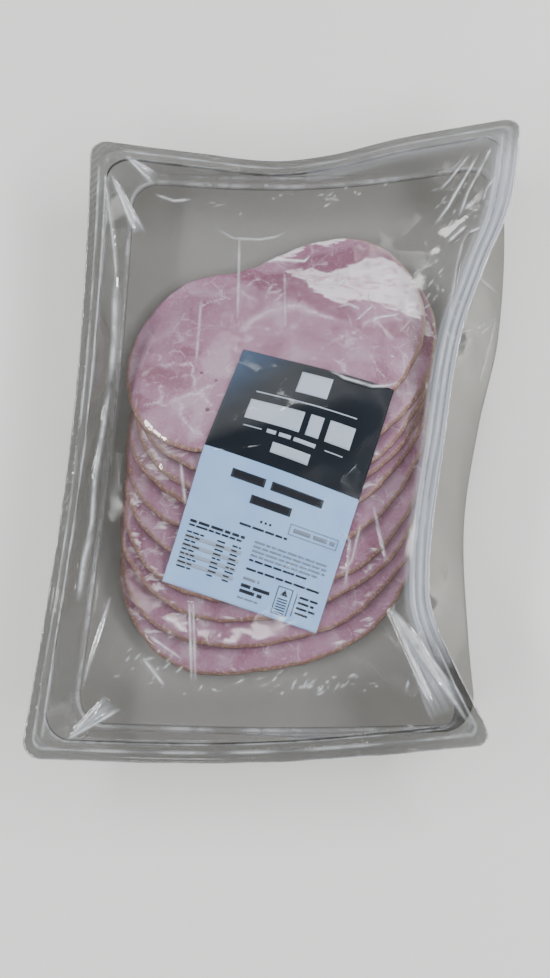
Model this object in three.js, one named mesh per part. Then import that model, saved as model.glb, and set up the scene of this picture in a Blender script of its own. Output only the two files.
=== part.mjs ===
// A clear formed pack of ten rashers of short-cut rindless bacon. The rashers are shingled from the
// near end to the far end, a paper label lies on them, and a lid film sealed to the pack's flange has
// drawn down onto both. The pack is warped, as thin packs are: on the right its flange has bowed in
// over the bacon, and that side wall leans in after it.
//
// Millimetres. +X is to the right, +Y to the far end, +Z up, and the pack stands on Z = 0.

import * as THREE from "three";

// The pack's flange, as its four corners, with their heights, and the bow of each side between them.
// A side is followed anticlockwise, and each step of its bow is a share of its length and how far it
// stands outside the straight line there. Lift is how much higher the middle of the side is.
const FLANGE = {
  nearLeft: [-120.5, -159, 23.5],
  nearRight: [90, -153, 25],
  farRight: [120, 160, 28],
  farLeft: [-104, 149, 25],
  near: { bow: [[0, 0], [0.5, 5], [1, 0]], lift: -1.5 },
  right: {
    bow: [[0, 0], [0.1, -20], [0.2, -34], [0.44, -31], [0.6, -26], [0.72, -16], [0.84, -4], [1, 0]],
    lift: 5,
  },
  far: { bow: [[0, 0], [0.28, -6], [0.44, -13], [0.58, -15], [0.75, -9], [1, 0]], lift: -5 },
  left: { bow: [[0, 0], [0.5, -6.5], [1, 0]], lift: -1.5 },
};

// The foot of the side walls, on the surface that the pack stands on.
const FOOT = {
  nearLeft: [-104, -147, 0],
  nearRight: [86, -148, 0],
  farRight: [112, 152, 0],
  farLeft: [-87, 142, 0],
  near: { bow: [[0, 0], [0.5, 2], [1, 0]] },
  right: { bow: [[0, 0], [0.14, -6], [0.32, -10], [0.49, -4.5], [0.65, 4], [0.87, 5.5], [1, 0]] },
  far: { bow: [[0, 0], [0.5, -9], [1, 0]] },
  left: { bow: [[0, 0], [0.45, -3.5], [1, 0]] },
};

// Half the width and length that insets and corner radii are measured on.
const HALF_WIDTH = 108;
const HALF_LENGTH = 155;

const FLANGE_WIDTH = 8.5;
const FLANGE_CORNER = 9;
const MOUTH_CORNER = 13;
const FOOT_CORNER = 18;
const TRAY_THICKNESS = 0.8;
const WALL_INSET = 1.1;
const HEEL_HEIGHT = 4;
const HEEL_INSET = 4;

const RASHER_COUNT = 10;
const RASHER_THICKNESS = 2.8;
const RASHER_EDGE_ROUND = 0.8;
const RASHER_RINGS = [0.3, 0.56, 0.8, 0.975];
const RASHER_SPOKES = 30;
// A rasher's outline is its mean reach and some waves round it: how many to a turn, how high, and the
// direction of a crest in degrees.
const RASHER_REACH = 66.5;
const RASHER_WAVES = [
  [1, 3, -37],
  [2, 13, 24.5],
  [3, 2.9, 44],
  [4, 1.9, 45],
];
const TOP_RASHER_CENTRE = [-9, 40];
// From the top rasher down, how far each lies nearer than the one on it, and to the right of the top one.
const SHINGLE_STEPS = [0, 9.7, 8.6, 7.6, 10.5, 13.4, 16.1, 9.4, 12.3, 12.3];
const SHINGLE_STRAYS = [0, 6, 5, 3, 1, 1, 1, 0.5, 0, 0];

const LABEL_WIDTH = 76.6;
const LABEL_LENGTH = 120;
const LABEL_THICKNESS = 0.4;
const LABEL_CENTRE = [-6.1, -34.7];
const LABEL_TURN = THREE.MathUtils.degToRad(-18.3);
const LABEL_CELLS = [6, 10];

const FILM_THICKNESS = 0.4;
const FILM_EDGE_INSET = 0.6;
const FILM_INSETS = [13, 19, 27, 37, 48, 60, 73, 88];
const FILM_CORNER = 8;
const FILM_PULL = 0.34;
const FILM_PASSES = 400;

const GAP = 0.3;
const SEAL_GAP = 0.32;
const SEGMENTS_ACROSS = 12;
const SEGMENTS_ALONG = 18;
const SEGMENTS_IN_CORNER = 4;
const LOOP_TOP = SEGMENTS_IN_CORNER + SEGMENTS_ACROSS / 2;

const FIELD_STEP = 2;
const FIELD_HALF = [130, 170];
const EDGE_SAMPLES = 16;
const STIFF_MEAT_PASSES = 14;
const STIFF_PAPER_PASSES = 60;

const COLOURS = { tray: 0xd9dcdb, film: 0xe6ebee, meat: 0xc98f9c, label: 0xc9d6e6 };

/** A point on a bowed side, from corner a to corner b, at share s of its length. */
function onSide(a, b, { bow, lift = 0 }, s) {
  const from = new THREE.Vector3(...a);
  const to = new THREE.Vector3(...b);
  const outward = new THREE.Vector3(to.y - from.y, from.x - to.x, 0).normalize();
  const shares = bow.map(([share]) => share);
  const depths = bow.map(([, depth]) => depth);
  const [depth] = new THREE.CubicInterpolant(shares, depths, 1).evaluate(s);
  const point = from.lerp(to, s).addScaledVector(outward, depth);
  point.z += lift * Math.sin(Math.PI * s);
  return point;
}

/** The surface spanned by the four bowed sides of a shape, at u and v from -1 to 1. */
function spanned(shape, u, v) {
  const { nearLeft, nearRight, farRight, farLeft } = shape;
  const s = (u + 1) / 2;
  const t = (v + 1) / 2;
  const near = onSide(nearLeft, nearRight, shape.near, s);
  const far = onSide(farRight, farLeft, shape.far, 1 - s);
  const right = onSide(nearRight, farRight, shape.right, t);
  const left = onSide(farLeft, nearLeft, shape.left, 1 - t);
  const point = new THREE.Vector3();
  point.addScaledVector(near, 1 - t).addScaledVector(far, t);
  point.addScaledVector(left, 1 - s).addScaledVector(right, s);
  point.addScaledVector(new THREE.Vector3(...nearLeft), -(1 - s) * (1 - t));
  point.addScaledVector(new THREE.Vector3(...nearRight), -s * (1 - t));
  point.addScaledVector(new THREE.Vector3(...farLeft), -(1 - s) * t);
  point.addScaledVector(new THREE.Vector3(...farRight), -s * t);
  return point;
}

/** A closed loop of points, an inset rectangle with round corners laid on the spanned surface. */
function loopOf(shape, inset, corner) {
  const halfWidth = HALF_WIDTH - inset;
  const halfLength = HALF_LENGTH - inset;
  const radius = Math.min(Math.max(corner, 2), halfWidth - 1);
  const corners = [
    [halfWidth - radius, halfLength - radius, 0],
    [radius - halfWidth, halfLength - radius, 1],
    [radius - halfWidth, radius - halfLength, 2],
    [halfWidth - radius, radius - halfLength, 3],
  ];
  const flat = [];
  corners.forEach(([cx, cy, quarter], index) => {
    for (let k = 0; k <= SEGMENTS_IN_CORNER; k++) {
      const angle = (quarter + k / SEGMENTS_IN_CORNER) * (Math.PI / 2);
      flat.push([cx + radius * Math.cos(angle), cy + radius * Math.sin(angle)]);
    }
    const [x, y] = flat[flat.length - 1];
    const [nx, ny, nextQuarter] = corners[(index + 1) % 4];
    const endAngle = nextQuarter * (Math.PI / 2);
    const end = [nx + radius * Math.cos(endAngle), ny + radius * Math.sin(endAngle)];
    const segments = index % 2 ? SEGMENTS_ALONG : SEGMENTS_ACROSS;
    for (let k = 1; k < segments; k++) {
      const share = k / segments;
      flat.push([x + (end[0] - x) * share, y + (end[1] - y) * share]);
    }
  });
  return flat.map(([x, y]) => spanned(shape, x / HALF_WIDTH, y / HALF_LENGTH));
}

/** A loop moved up or down. */
function raised(loop, height) {
  return loop.map((p) => new THREE.Vector3(p.x, p.y, p.z + height));
}

/** A loop part of the way from one loop to another. */
function between(loopA, loopB, share) {
  return loopA.map((p, k) => p.clone().lerp(loopB[k], share));
}

/** The middle of a loop. */
function middleOf(loop) {
  const sum = loop.reduce((total, p) => total.add(p), new THREE.Vector3());
  return sum.divideScalar(loop.length);
}

/** The triangles that join loops in order, each with as many points, shut by a fan at each end. */
function loftIndex(loopCount, pointCount, firstCap, lastCap) {
  const index = [];
  for (let k = 0; k < pointCount; k++) {
    const next = (k + 1) % pointCount;
    if (firstCap !== null) index.push([firstCap, next, k]);
    for (let row = 0; row + 1 < loopCount; row++) {
      const a = row * pointCount;
      const b = a + pointCount;
      index.push([a + k, a + next, b + k], [a + next, b + next, b + k]);
    }
    const last = (loopCount - 1) * pointCount;
    if (lastCap !== null) index.push([lastCap, last + k, last + next]);
  }
  return index;
}

/** The triangles that shut a loop straight across, from its point at start to the one opposite. */
function zipIndex(first, pointCount, start) {
  const index = [];
  const at = (k) => first + ((k + pointCount) % pointCount);
  for (let k = 0; k < pointCount / 2; k++) {
    const [a, b] = [at(start - k), at(start + k)];
    const [c, d] = [at(start + k + 1), at(start - k - 1)];
    if (a !== b) index.push([a, b, c]);
    if (c !== d) index.push([a, c, d]);
  }
  return index;
}

/** A geometry from points and triangles. */
function geometryOf(points, index) {
  const geometry = new THREE.BufferGeometry().setFromPoints(points);
  geometry.setIndex(index.flat());
  geometry.computeVertexNormals();
  return geometry;
}

/** A closed body lofted through loops, from its first middle point to its last. */
function loftedBody(loops, firstMiddle, lastMiddle) {
  const points = [...loops.flat(), firstMiddle, lastMiddle];
  const index = loftIndex(loops.length, loops[0].length, points.length - 2, points.length - 1);
  return geometryOf(points, index);
}

/** The edges of a sheet that only one of its triangles has, each in that triangle's direction. */
function freeEdges(triangles) {
  const edges = triangles.flatMap(([a, b, c]) => [[a, b], [b, c], [c, a]]);
  const names = new Set(edges.map(([from, to]) => `${from} to ${to}`));
  return edges.filter(([from, to]) => !names.has(`${to} to ${from}`));
}

/** A closed body made of a sheet of triangles that face up, given a thickness. */
function thickened(points, triangles, thickness) {
  const lift = points.length;
  const under = triangles.map(([a, b, c]) => [a, c, b]);
  const over = triangles.map((corners) => corners.map((i) => i + lift));
  const sides = freeEdges(triangles).flatMap(([from, to]) => [
    [from, to, to + lift],
    [from, to + lift, from + lift],
  ]);
  return geometryOf([...points, ...raised(points, thickness)], [...under, ...over, ...sides]);
}

/** Heights over the plan of the pack, which says what each sheet has to lie on. */
class HeightField {
  constructor(level) {
    this.columns = Math.round((2 * FIELD_HALF[0]) / FIELD_STEP) + 1;
    this.rows = Math.round((2 * FIELD_HALF[1]) / FIELD_STEP) + 1;
    this.heights = new Float64Array(this.columns * this.rows).fill(level);
  }

  /** The cell that holds a place, and how far into the cell it is. */
  cell(x, y) {
    const gx = (x + FIELD_HALF[0]) / FIELD_STEP;
    const gy = (y + FIELD_HALF[1]) / FIELD_STEP;
    const column = Math.min(Math.max(Math.floor(gx), 0), this.columns - 2);
    const row = Math.min(Math.max(Math.floor(gy), 0), this.rows - 2);
    return { row, column, first: row * this.columns + column, fx: gx - column, fy: gy - row };
  }

  at(x, y) {
    const { first, fx, fy } = this.cell(x, y);
    const h = this.heights;
    const lower = h[first] * (1 - fx) + h[first + 1] * fx;
    const upper = h[first + this.columns] * (1 - fx) + h[first + this.columns + 1] * fx;
    return lower * (1 - fy) + upper * fy;
  }

  /** Raises the field to a sheet's triangles, and to its free edges over each cell that they cross. */
  coverWith(points, triangles) {
    for (const [a, b, c] of triangles) this.coverTriangle(points[a], points[b], points[c]);
    for (const [from, to] of freeEdges(triangles))
      for (let share = 0; share <= 1; share += 1 / EDGE_SAMPLES) {
        const p = points[from].clone().lerp(points[to], share);
        const { first } = this.cell(p.x, p.y);
        for (const i of [first, first + 1, first + this.columns, first + this.columns + 1])
          this.heights[i] = Math.max(this.heights[i], p.z);
      }
  }

  /** Raises the field to a triangle at each of its own points that is inside it. */
  coverTriangle(a, b, c) {
    const double = (b.x - a.x) * (c.y - a.y) - (c.x - a.x) * (b.y - a.y);
    if (double === 0) return;
    const low = this.cell(Math.min(a.x, b.x, c.x), Math.min(a.y, b.y, c.y));
    const high = this.cell(Math.max(a.x, b.x, c.x), Math.max(a.y, b.y, c.y));
    for (let row = low.row; row <= high.row + 1; row++)
      for (let column = low.column; column <= high.column + 1; column++) {
        const x = column * FIELD_STEP - FIELD_HALF[0];
        const y = row * FIELD_STEP - FIELD_HALF[1];
        const wb = ((x - a.x) * (c.y - a.y) - (c.x - a.x) * (y - a.y)) / double;
        const wc = ((b.x - a.x) * (y - a.y) - (x - a.x) * (b.y - a.y)) / double;
        if (wb < 0 || wc < 0 || wb + wc > 1) continue;
        const i = row * this.columns + column;
        this.heights[i] = Math.max(this.heights[i], a.z + wb * (b.z - a.z) + wc * (c.z - a.z));
      }
  }

  /** The same field as a stiff sheet bridges it: averaged again and again, and nowhere lower. */
  bridged(passes) {
    const made = new HeightField(0);
    made.heights.set(this.heights);
    for (let pass = 0; pass < passes; pass++) {
      const before = Float64Array.from(made.heights);
      for (let row = 1; row < this.rows - 1; row++)
        for (let column = 1; column < this.columns - 1; column++) {
          const i = row * this.columns + column;
          const beside = before[i - 1] + before[i + 1];
          const around = beside + before[i - this.columns] + before[i + this.columns];
          made.heights[i] = Math.max(this.heights[i], around / 4);
        }
    }
    return made;
  }
}

/** Weights of points spread over a triangle, no further apart than spacing. */
function samplesIn(a, b, c, spacing) {
  const longest = Math.max(a.distanceTo(b), b.distanceTo(c), c.distanceTo(a));
  const steps = Math.max(1, Math.ceil(longest / spacing));
  const samples = [];
  for (let i = 0; i <= steps; i++)
    for (let j = 0; i + j <= steps; j++) samples.push([i / steps, j / steps, (steps - i - j) / steps]);
  return samples;
}

/** Lifts a sheet's points until none of its triangles is nearer to the field than the gap. */
function liftClear(points, triangles, field, gap) {
  const passes = 12;
  for (let pass = 0; pass < passes; pass++)
    for (const corners of triangles) {
      const [a, b, c] = corners.map((i) => points[i]);
      for (const weights of samplesIn(a, b, c, FIELD_STEP)) {
        const x = a.x * weights[0] + b.x * weights[1] + c.x * weights[2];
        const y = a.y * weights[0] + b.y * weights[1] + c.y * weights[2];
        const z = a.z * weights[0] + b.z * weights[1] + c.z * weights[2];
        const lack = field.at(x, y) + gap - z;
        if (lack <= 0) continue;
        const norm = weights.reduce((sum, w) => sum + w * w, 0);
        corners.forEach((i, n) => {
          points[i].z += (lack * weights[n]) / norm;
        });
      }
    }
}

/** The loops of the tray's outside, from its foot up to the edge of the flange. */
function trayOutside() {
  const heel = raised(loopOf(FOOT, 0, FOOT_CORNER), HEEL_HEIGHT);
  const mouth = loopOf(FLANGE, FLANGE_WIDTH, MOUTH_CORNER);
  return [
    loopOf(FOOT, HEEL_INSET, FOOT_CORNER - HEEL_INSET),
    raised(loopOf(FOOT, HEEL_INSET * 0.3, FOOT_CORNER - HEEL_INSET * 0.3), HEEL_HEIGHT * 0.3),
    heel,
    between(heel, raised(mouth, -TRAY_THICKNESS), 0.5),
    raised(mouth, -TRAY_THICKNESS),
    raised(loopOf(FLANGE, 0, FLANGE_CORNER), -TRAY_THICKNESS),
  ];
}

/** The loops of the tray's inside, from the edge of the flange down to the floor of the pocket. */
function trayInside() {
  const inset = WALL_INSET;
  const heel = raised(loopOf(FOOT, inset, FOOT_CORNER - inset), HEEL_HEIGHT + TRAY_THICKNESS / 2);
  const mouth = loopOf(FLANGE, FLANGE_WIDTH + inset, MOUTH_CORNER - inset);
  const bend = inset + HEEL_INSET * 0.3;
  return [
    loopOf(FLANGE, 0, FLANGE_CORNER),
    mouth,
    between(mouth, heel, 0.5),
    heel,
    raised(loopOf(FOOT, bend, FOOT_CORNER - bend), HEEL_HEIGHT * 0.3 + TRAY_THICKNESS),
    raised(loopOf(FOOT, inset + HEEL_INSET, FOOT_CORNER - inset - HEEL_INSET), TRAY_THICKNESS),
  ];
}

/** How far a rasher's rim is from its centre, in a direction. */
function rasherReach(angle, order) {
  const waves = RASHER_WAVES.map(
    ([count, height, crest]) => height * Math.cos(count * (angle - THREE.MathUtils.degToRad(crest))),
  );
  const uneven = 0.5 * Math.sin(5 * angle + 1.7 * order) + 0.4 * Math.sin(8 * angle + 2.9 * order);
  return waves.reduce((sum, wave) => sum + wave, RASHER_REACH) + uneven;
}

/** A rasher's centre in plan. */
function rasherCentre(order) {
  const down = RASHER_COUNT - 1 - order;
  const nearer = SHINGLE_STEPS.slice(0, down + 1).reduce((sum, step) => sum + step, 0);
  return [TOP_RASHER_CENTRE[0] + SHINGLE_STRAYS[down], TOP_RASHER_CENTRE[1] - nearer];
}

/** A rasher's loop at a share of its reach, at height zero. */
function rasherLoop(order, share) {
  const [cx, cy] = rasherCentre(order);
  const loop = [];
  for (let k = 0; k < RASHER_SPOKES; k++) {
    const angle = (2 * Math.PI * k) / RASHER_SPOKES;
    const reach = rasherReach(angle, order) * share;
    loop.push(new THREE.Vector3(cx + reach * Math.cos(angle), cy + reach * Math.sin(angle), 0));
  }
  return loop;
}

/** Lays a rasher on the field, covers the field with it, and returns its geometry. */
function laidRasher(order, field) {
  const bridge = field.bridged(STIFF_MEAT_PASSES);
  const rings = [...RASHER_RINGS, 1].map((share) => rasherLoop(order, share));
  const under = [...rings.flat(), new THREE.Vector3(...rasherCentre(order), 0)];
  under.forEach((p) => {
    p.z = bridge.at(p.x, p.y) + GAP;
  });
  const underIndex = loftIndex(rings.length, RASHER_SPOKES, under.length - 1, null);
  liftClear(under, underIndex, field, GAP);

  const flatRings = rings.slice(0, -1);
  const rim = rings[rings.length - 1];
  const centre = under[under.length - 1];
  const top = centre.clone().setZ(centre.z + RASHER_THICKNESS);
  const overRings = flatRings.map((loop) => raised(loop, RASHER_THICKNESS)).reverse();
  const topRim = raised(rim, RASHER_THICKNESS - RASHER_EDGE_ROUND);
  const loops = [...flatRings, raised(rim, RASHER_EDGE_ROUND), topRim, ...overRings];
  field.coverWith([...topRim, ...overRings.flat(), top], overIndex(overRings.length + 1));
  return loftedBody(loops, centre, top);
}

/** The triangles of a rasher's upper side, from its rim to its middle. */
function overIndex(loopCount) {
  return loftIndex(loopCount, RASHER_SPOKES, null, loopCount * RASHER_SPOKES);
}

/** Lays the label on the field, covers the field with it, and returns its geometry. */
function laidLabel(field) {
  const [across, along] = LABEL_CELLS;
  const bridge = field.bridged(STIFF_PAPER_PASSES);
  const sheet = new THREE.PlaneGeometry(LABEL_WIDTH, LABEL_LENGTH, across, along);
  sheet.rotateZ(LABEL_TURN).translate(...LABEL_CENTRE, 0);
  const corners = sheet.getAttribute("position");
  const points = [];
  for (let i = 0; i < corners.count; i++) {
    const [x, y] = [corners.getX(i), corners.getY(i)];
    points.push(new THREE.Vector3(x, y, bridge.at(x, y) + GAP));
  }
  const triangles = [];
  for (let i = 0; i < sheet.index.count; i += 3)
    triangles.push([0, 1, 2].map((n) => sheet.index.getX(i + n)));
  liftClear(points, triangles, field, GAP);
  field.coverWith(raised(points, LABEL_THICKNESS), triangles);
  return thickened(points, triangles, LABEL_THICKNESS);
}

/** The lid film: sealed along the flange, and drawn down onto what is under it. */
function lidFilm(field) {
  const mouthInset = FLANGE_WIDTH + WALL_INSET + GAP;
  const outer = loopOf(FLANGE, FILM_EDGE_INSET, FLANGE_CORNER);
  const mouth = loopOf(FLANGE, mouthInset, MOUTH_CORNER - WALL_INSET);
  const loops = [outer, mouth].map((loop) => raised(loop, SEAL_GAP));
  const freeLoops = FILM_INSETS.map((inset) => loopOf(FLANGE, inset, FILM_CORNER + inset / 3));
  const inner = freeLoops.map((loop) => raised(loop, SEAL_GAP));
  const rows = [loops[1], ...inner];
  for (let pass = 0; pass < FILM_PASSES; pass++)
    for (let row = 1; row < rows.length; row++)
      rows[row].forEach((p, k) => {
        const count = rows[row].length;
        const beside = rows[row][(k + 1) % count].z + rows[row][(k + count - 1) % count].z;
        const out = rows[row - 1][k].z;
        const opposite = rows[row][(2 * LOOP_TOP - k + count) % count].z;
        const inward = row + 1 < rows.length ? rows[row + 1][k].z : opposite;
        p.z = Math.max(field.at(p.x, p.y) + GAP, (beside + out + inward) / 4 - FILM_PULL);
      });
  const points = [...loops.flat(), ...inner.flat()];
  const count = loops[0].length;
  const triangles = [
    ...loftIndex(loops.length + inner.length, count, null, null),
    ...zipIndex(points.length - count, count, LOOP_TOP),
  ];
  liftClear(points, triangles, field, GAP);
  return thickened(points, triangles, FILM_THICKNESS);
}

/** A named piece in its colour. */
function piece(name, geometry, colour, roughness, opacity = 1) {
  const material = new THREE.MeshStandardMaterial({ color: colour, roughness, metalness: 0 });
  material.transparent = opacity < 1;
  material.opacity = opacity;
  const mesh = new THREE.Mesh(geometry, material);
  mesh.name = name;
  return mesh;
}

/** Moves the pack so that the middle of its box's base is on the origin. */
function stoodOnOrigin(group) {
  const box = new THREE.Box3().setFromObject(group);
  const middle = box.getCenter(new THREE.Vector3());
  group.position.set(-middle.x, -middle.y, -box.min.z);
  return group;
}

const pack = new THREE.Group();

const outside = trayOutside();
const inside = trayInside();
const footMiddle = middleOf(outside[0]);
const floorMiddle = middleOf(inside[inside.length - 1]);
const trayBody = loftedBody([...outside, ...inside], footMiddle, floorMiddle);
pack.add(piece("tray", trayBody, COLOURS.tray, 0.15, 0.35));

const field = new HeightField(TRAY_THICKNESS);
const pocketFloor = inside.slice(3);
field.coverWith(pocketFloor.flat(), loftIndex(pocketFloor.length, pocketFloor[0].length, null, null));

for (let order = 0; order < RASHER_COUNT; order++) {
  const name = `rasher_${String(order + 1).padStart(2, "0")}`;
  pack.add(piece(name, laidRasher(order, field), COLOURS.meat, 0.4));
}
pack.add(piece("label", laidLabel(field), COLOURS.label, 0.45));
pack.add(piece("lid_film", lidFilm(field), COLOURS.film, 0.12, 0.3));

export default stoodOnOrigin(pack);
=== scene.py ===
"""The looks of a clear formed pack of short-cut bacon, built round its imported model.

Ten shingled rashers lie in a clear tray. A printed paper label lies on them, and a clear lid film,
sealed to the tray's flange, is drawn down over both. The pack is warped: on the right its flange has
bowed in over the bacon and the side wall leans in after it.

Shapes are worked out in millimetres, and every mesh is made in metres.
"""

from __future__ import annotations

import logging
import math
from dataclasses import dataclass, field
from enum import Enum

import bpy
import numpy as np
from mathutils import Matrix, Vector

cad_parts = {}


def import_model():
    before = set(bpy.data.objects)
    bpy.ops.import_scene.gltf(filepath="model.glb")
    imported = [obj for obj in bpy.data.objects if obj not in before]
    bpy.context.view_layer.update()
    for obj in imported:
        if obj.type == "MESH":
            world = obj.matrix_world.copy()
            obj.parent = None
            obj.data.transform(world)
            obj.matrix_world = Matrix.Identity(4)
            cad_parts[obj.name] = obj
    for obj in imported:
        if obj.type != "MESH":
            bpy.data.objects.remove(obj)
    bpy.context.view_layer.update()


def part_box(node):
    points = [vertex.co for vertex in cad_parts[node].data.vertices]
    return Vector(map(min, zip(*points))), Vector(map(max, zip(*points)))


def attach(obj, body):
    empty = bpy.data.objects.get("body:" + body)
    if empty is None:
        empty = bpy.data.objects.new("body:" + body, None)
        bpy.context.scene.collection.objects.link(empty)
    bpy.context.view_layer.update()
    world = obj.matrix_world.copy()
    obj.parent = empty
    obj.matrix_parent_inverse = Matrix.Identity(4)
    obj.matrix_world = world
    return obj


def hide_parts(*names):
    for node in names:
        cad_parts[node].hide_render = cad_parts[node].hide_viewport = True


log = logging.getLogger("bacon_pack")

METRE = 0.001
BODY = "root"
Array = np.ndarray
Socket = bpy.types.NodeSocket


# Colour and node helpers


def screen(red: int, green: int, blue: int) -> tuple[float, float, float, float]:
    """Gives the linear colour, with an alpha of 1, of a screen colour's values from 0 to 255."""
    linear = [((c / 255 + 0.055) / 1.055) ** 2.4 if c > 10 else c / 255 / 12.92 for c in (red, green, blue)]
    return (*linear, 1.0)


class NodeBench:
    """Adds nodes to one new material and wires them together."""

    def __init__(self, name: str) -> None:
        """Makes an empty node material.

        Args:
            name: The material's name.
        """
        self.material = bpy.data.materials.new(name)
        self.material.use_nodes = True
        self.tree = self.material.node_tree
        self.tree.nodes.clear()

    def add(self, kind: str, inputs: dict | None = None, **settings) -> bpy.types.Node:
        """Adds one node.

        Args:
            kind: The node's type, without its ShaderNode prefix.
            inputs: A socket or a value for each input, by name or by number.
            **settings: The node's own properties.

        Returns:
            The node.
        """
        node = self.tree.nodes.new("ShaderNode" + kind)
        for key, value in settings.items():
            setattr(node, key, value)
        for key, value in (inputs or {}).items():
            if isinstance(value, Socket):
                self.tree.links.new(value, node.inputs[key])
            else:
                node.inputs[key].default_value = value
        return node

    def object_place(self) -> Socket:
        """Gives the coordinates in the object, in metres."""
        return self.add("TexCoord").outputs["Object"]

    def mixed(self, factor: Socket | float, first: Socket | tuple, second: Socket | tuple) -> Socket:
        """Mixes two colours, with as much of the second as the factor says."""
        node = self.add("Mix", {0: factor, 6: first, 7: second}, data_type="RGBA", clamp_factor=True)
        return node.outputs[2]

    def layered(self, under: Socket | tuple, over: Socket | tuple, where: Socket, *span: float) -> Socket:
        """Lays a colour over another by a number, whose span is given as eased takes it."""
        return self.mixed(self.eased(where, *span), under, over)

    def blended(self, factor: Socket | float, first: Socket, second: Socket) -> Socket:
        """Mixes two shaders, with as much of the second as the factor says."""
        return self.add("MixShader", {0: factor, 1: first, 2: second}).outputs[0]

    def maths(self, operation: str, first: Socket | float, second: Socket | float = 0.0) -> Socket:
        """Does one sum on two numbers, named as the Math node's operation is."""
        return self.add("Math", {0: first, 1: second}, operation=operation).outputs[0]

    def swayed(self, value: Socket, amount: float) -> Socket:
        """Moves a noise's middle to 0 and scales it, to half the amount either way at most."""
        return self.maths("MULTIPLY", self.maths("SUBTRACT", value, 0.5), amount)

    def eased(
        self, value: Socket, low: float, high: float, to_low: float = 0.0, to_high: float = 1.0
    ) -> Socket:
        """Maps a range of numbers smoothly to another, and holds it at its ends."""
        sockets = {"Value": value, "From Min": low, "From Max": high, "To Min": to_low, "To Max": to_high}
        return self.add("MapRange", sockets, interpolation_type="SMOOTHSTEP").outputs[0]

    def noise(self, vector: Socket, scale: float, detail: float = 3.0, distortion: float = 0.0) -> Socket:
        """Adds a noise texture, about 0 to 1, with its scale per unit of the coordinates."""
        sockets = {"Vector": vector, "Scale": scale, "Detail": detail, "Distortion": distortion}
        return self.add("TexNoise", sockets).outputs[0]

    def attribute(self, name: str, vector: bool = False) -> Socket:
        """Reads a mesh attribute, as a number or as a vector."""
        node = self.add("Attribute", attribute_name=name)
        return node.outputs["Vector" if vector else "Fac"]

    def bumped(self, height: Socket, distance: float, strength: float) -> Socket:
        """Turns heights into a bumped normal, where a height of 1 is the distance, in metres."""
        sockets = {"Height": height, "Distance": distance, "Strength": strength}
        return self.add("Bump", sockets).outputs[0]

    def finished(self, shader: Socket) -> bpy.types.Material:
        """Wires a shader to the surface and gives the material."""
        self.add("OutputMaterial", {"Surface": shader})
        return self.material

    def principled(self, sockets: dict) -> bpy.types.Material:
        """Gives the material one Principled shader with these inputs."""
        return self.finished(self.add("BsdfPrincipled", sockets).outputs[0])


# Finishes


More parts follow.
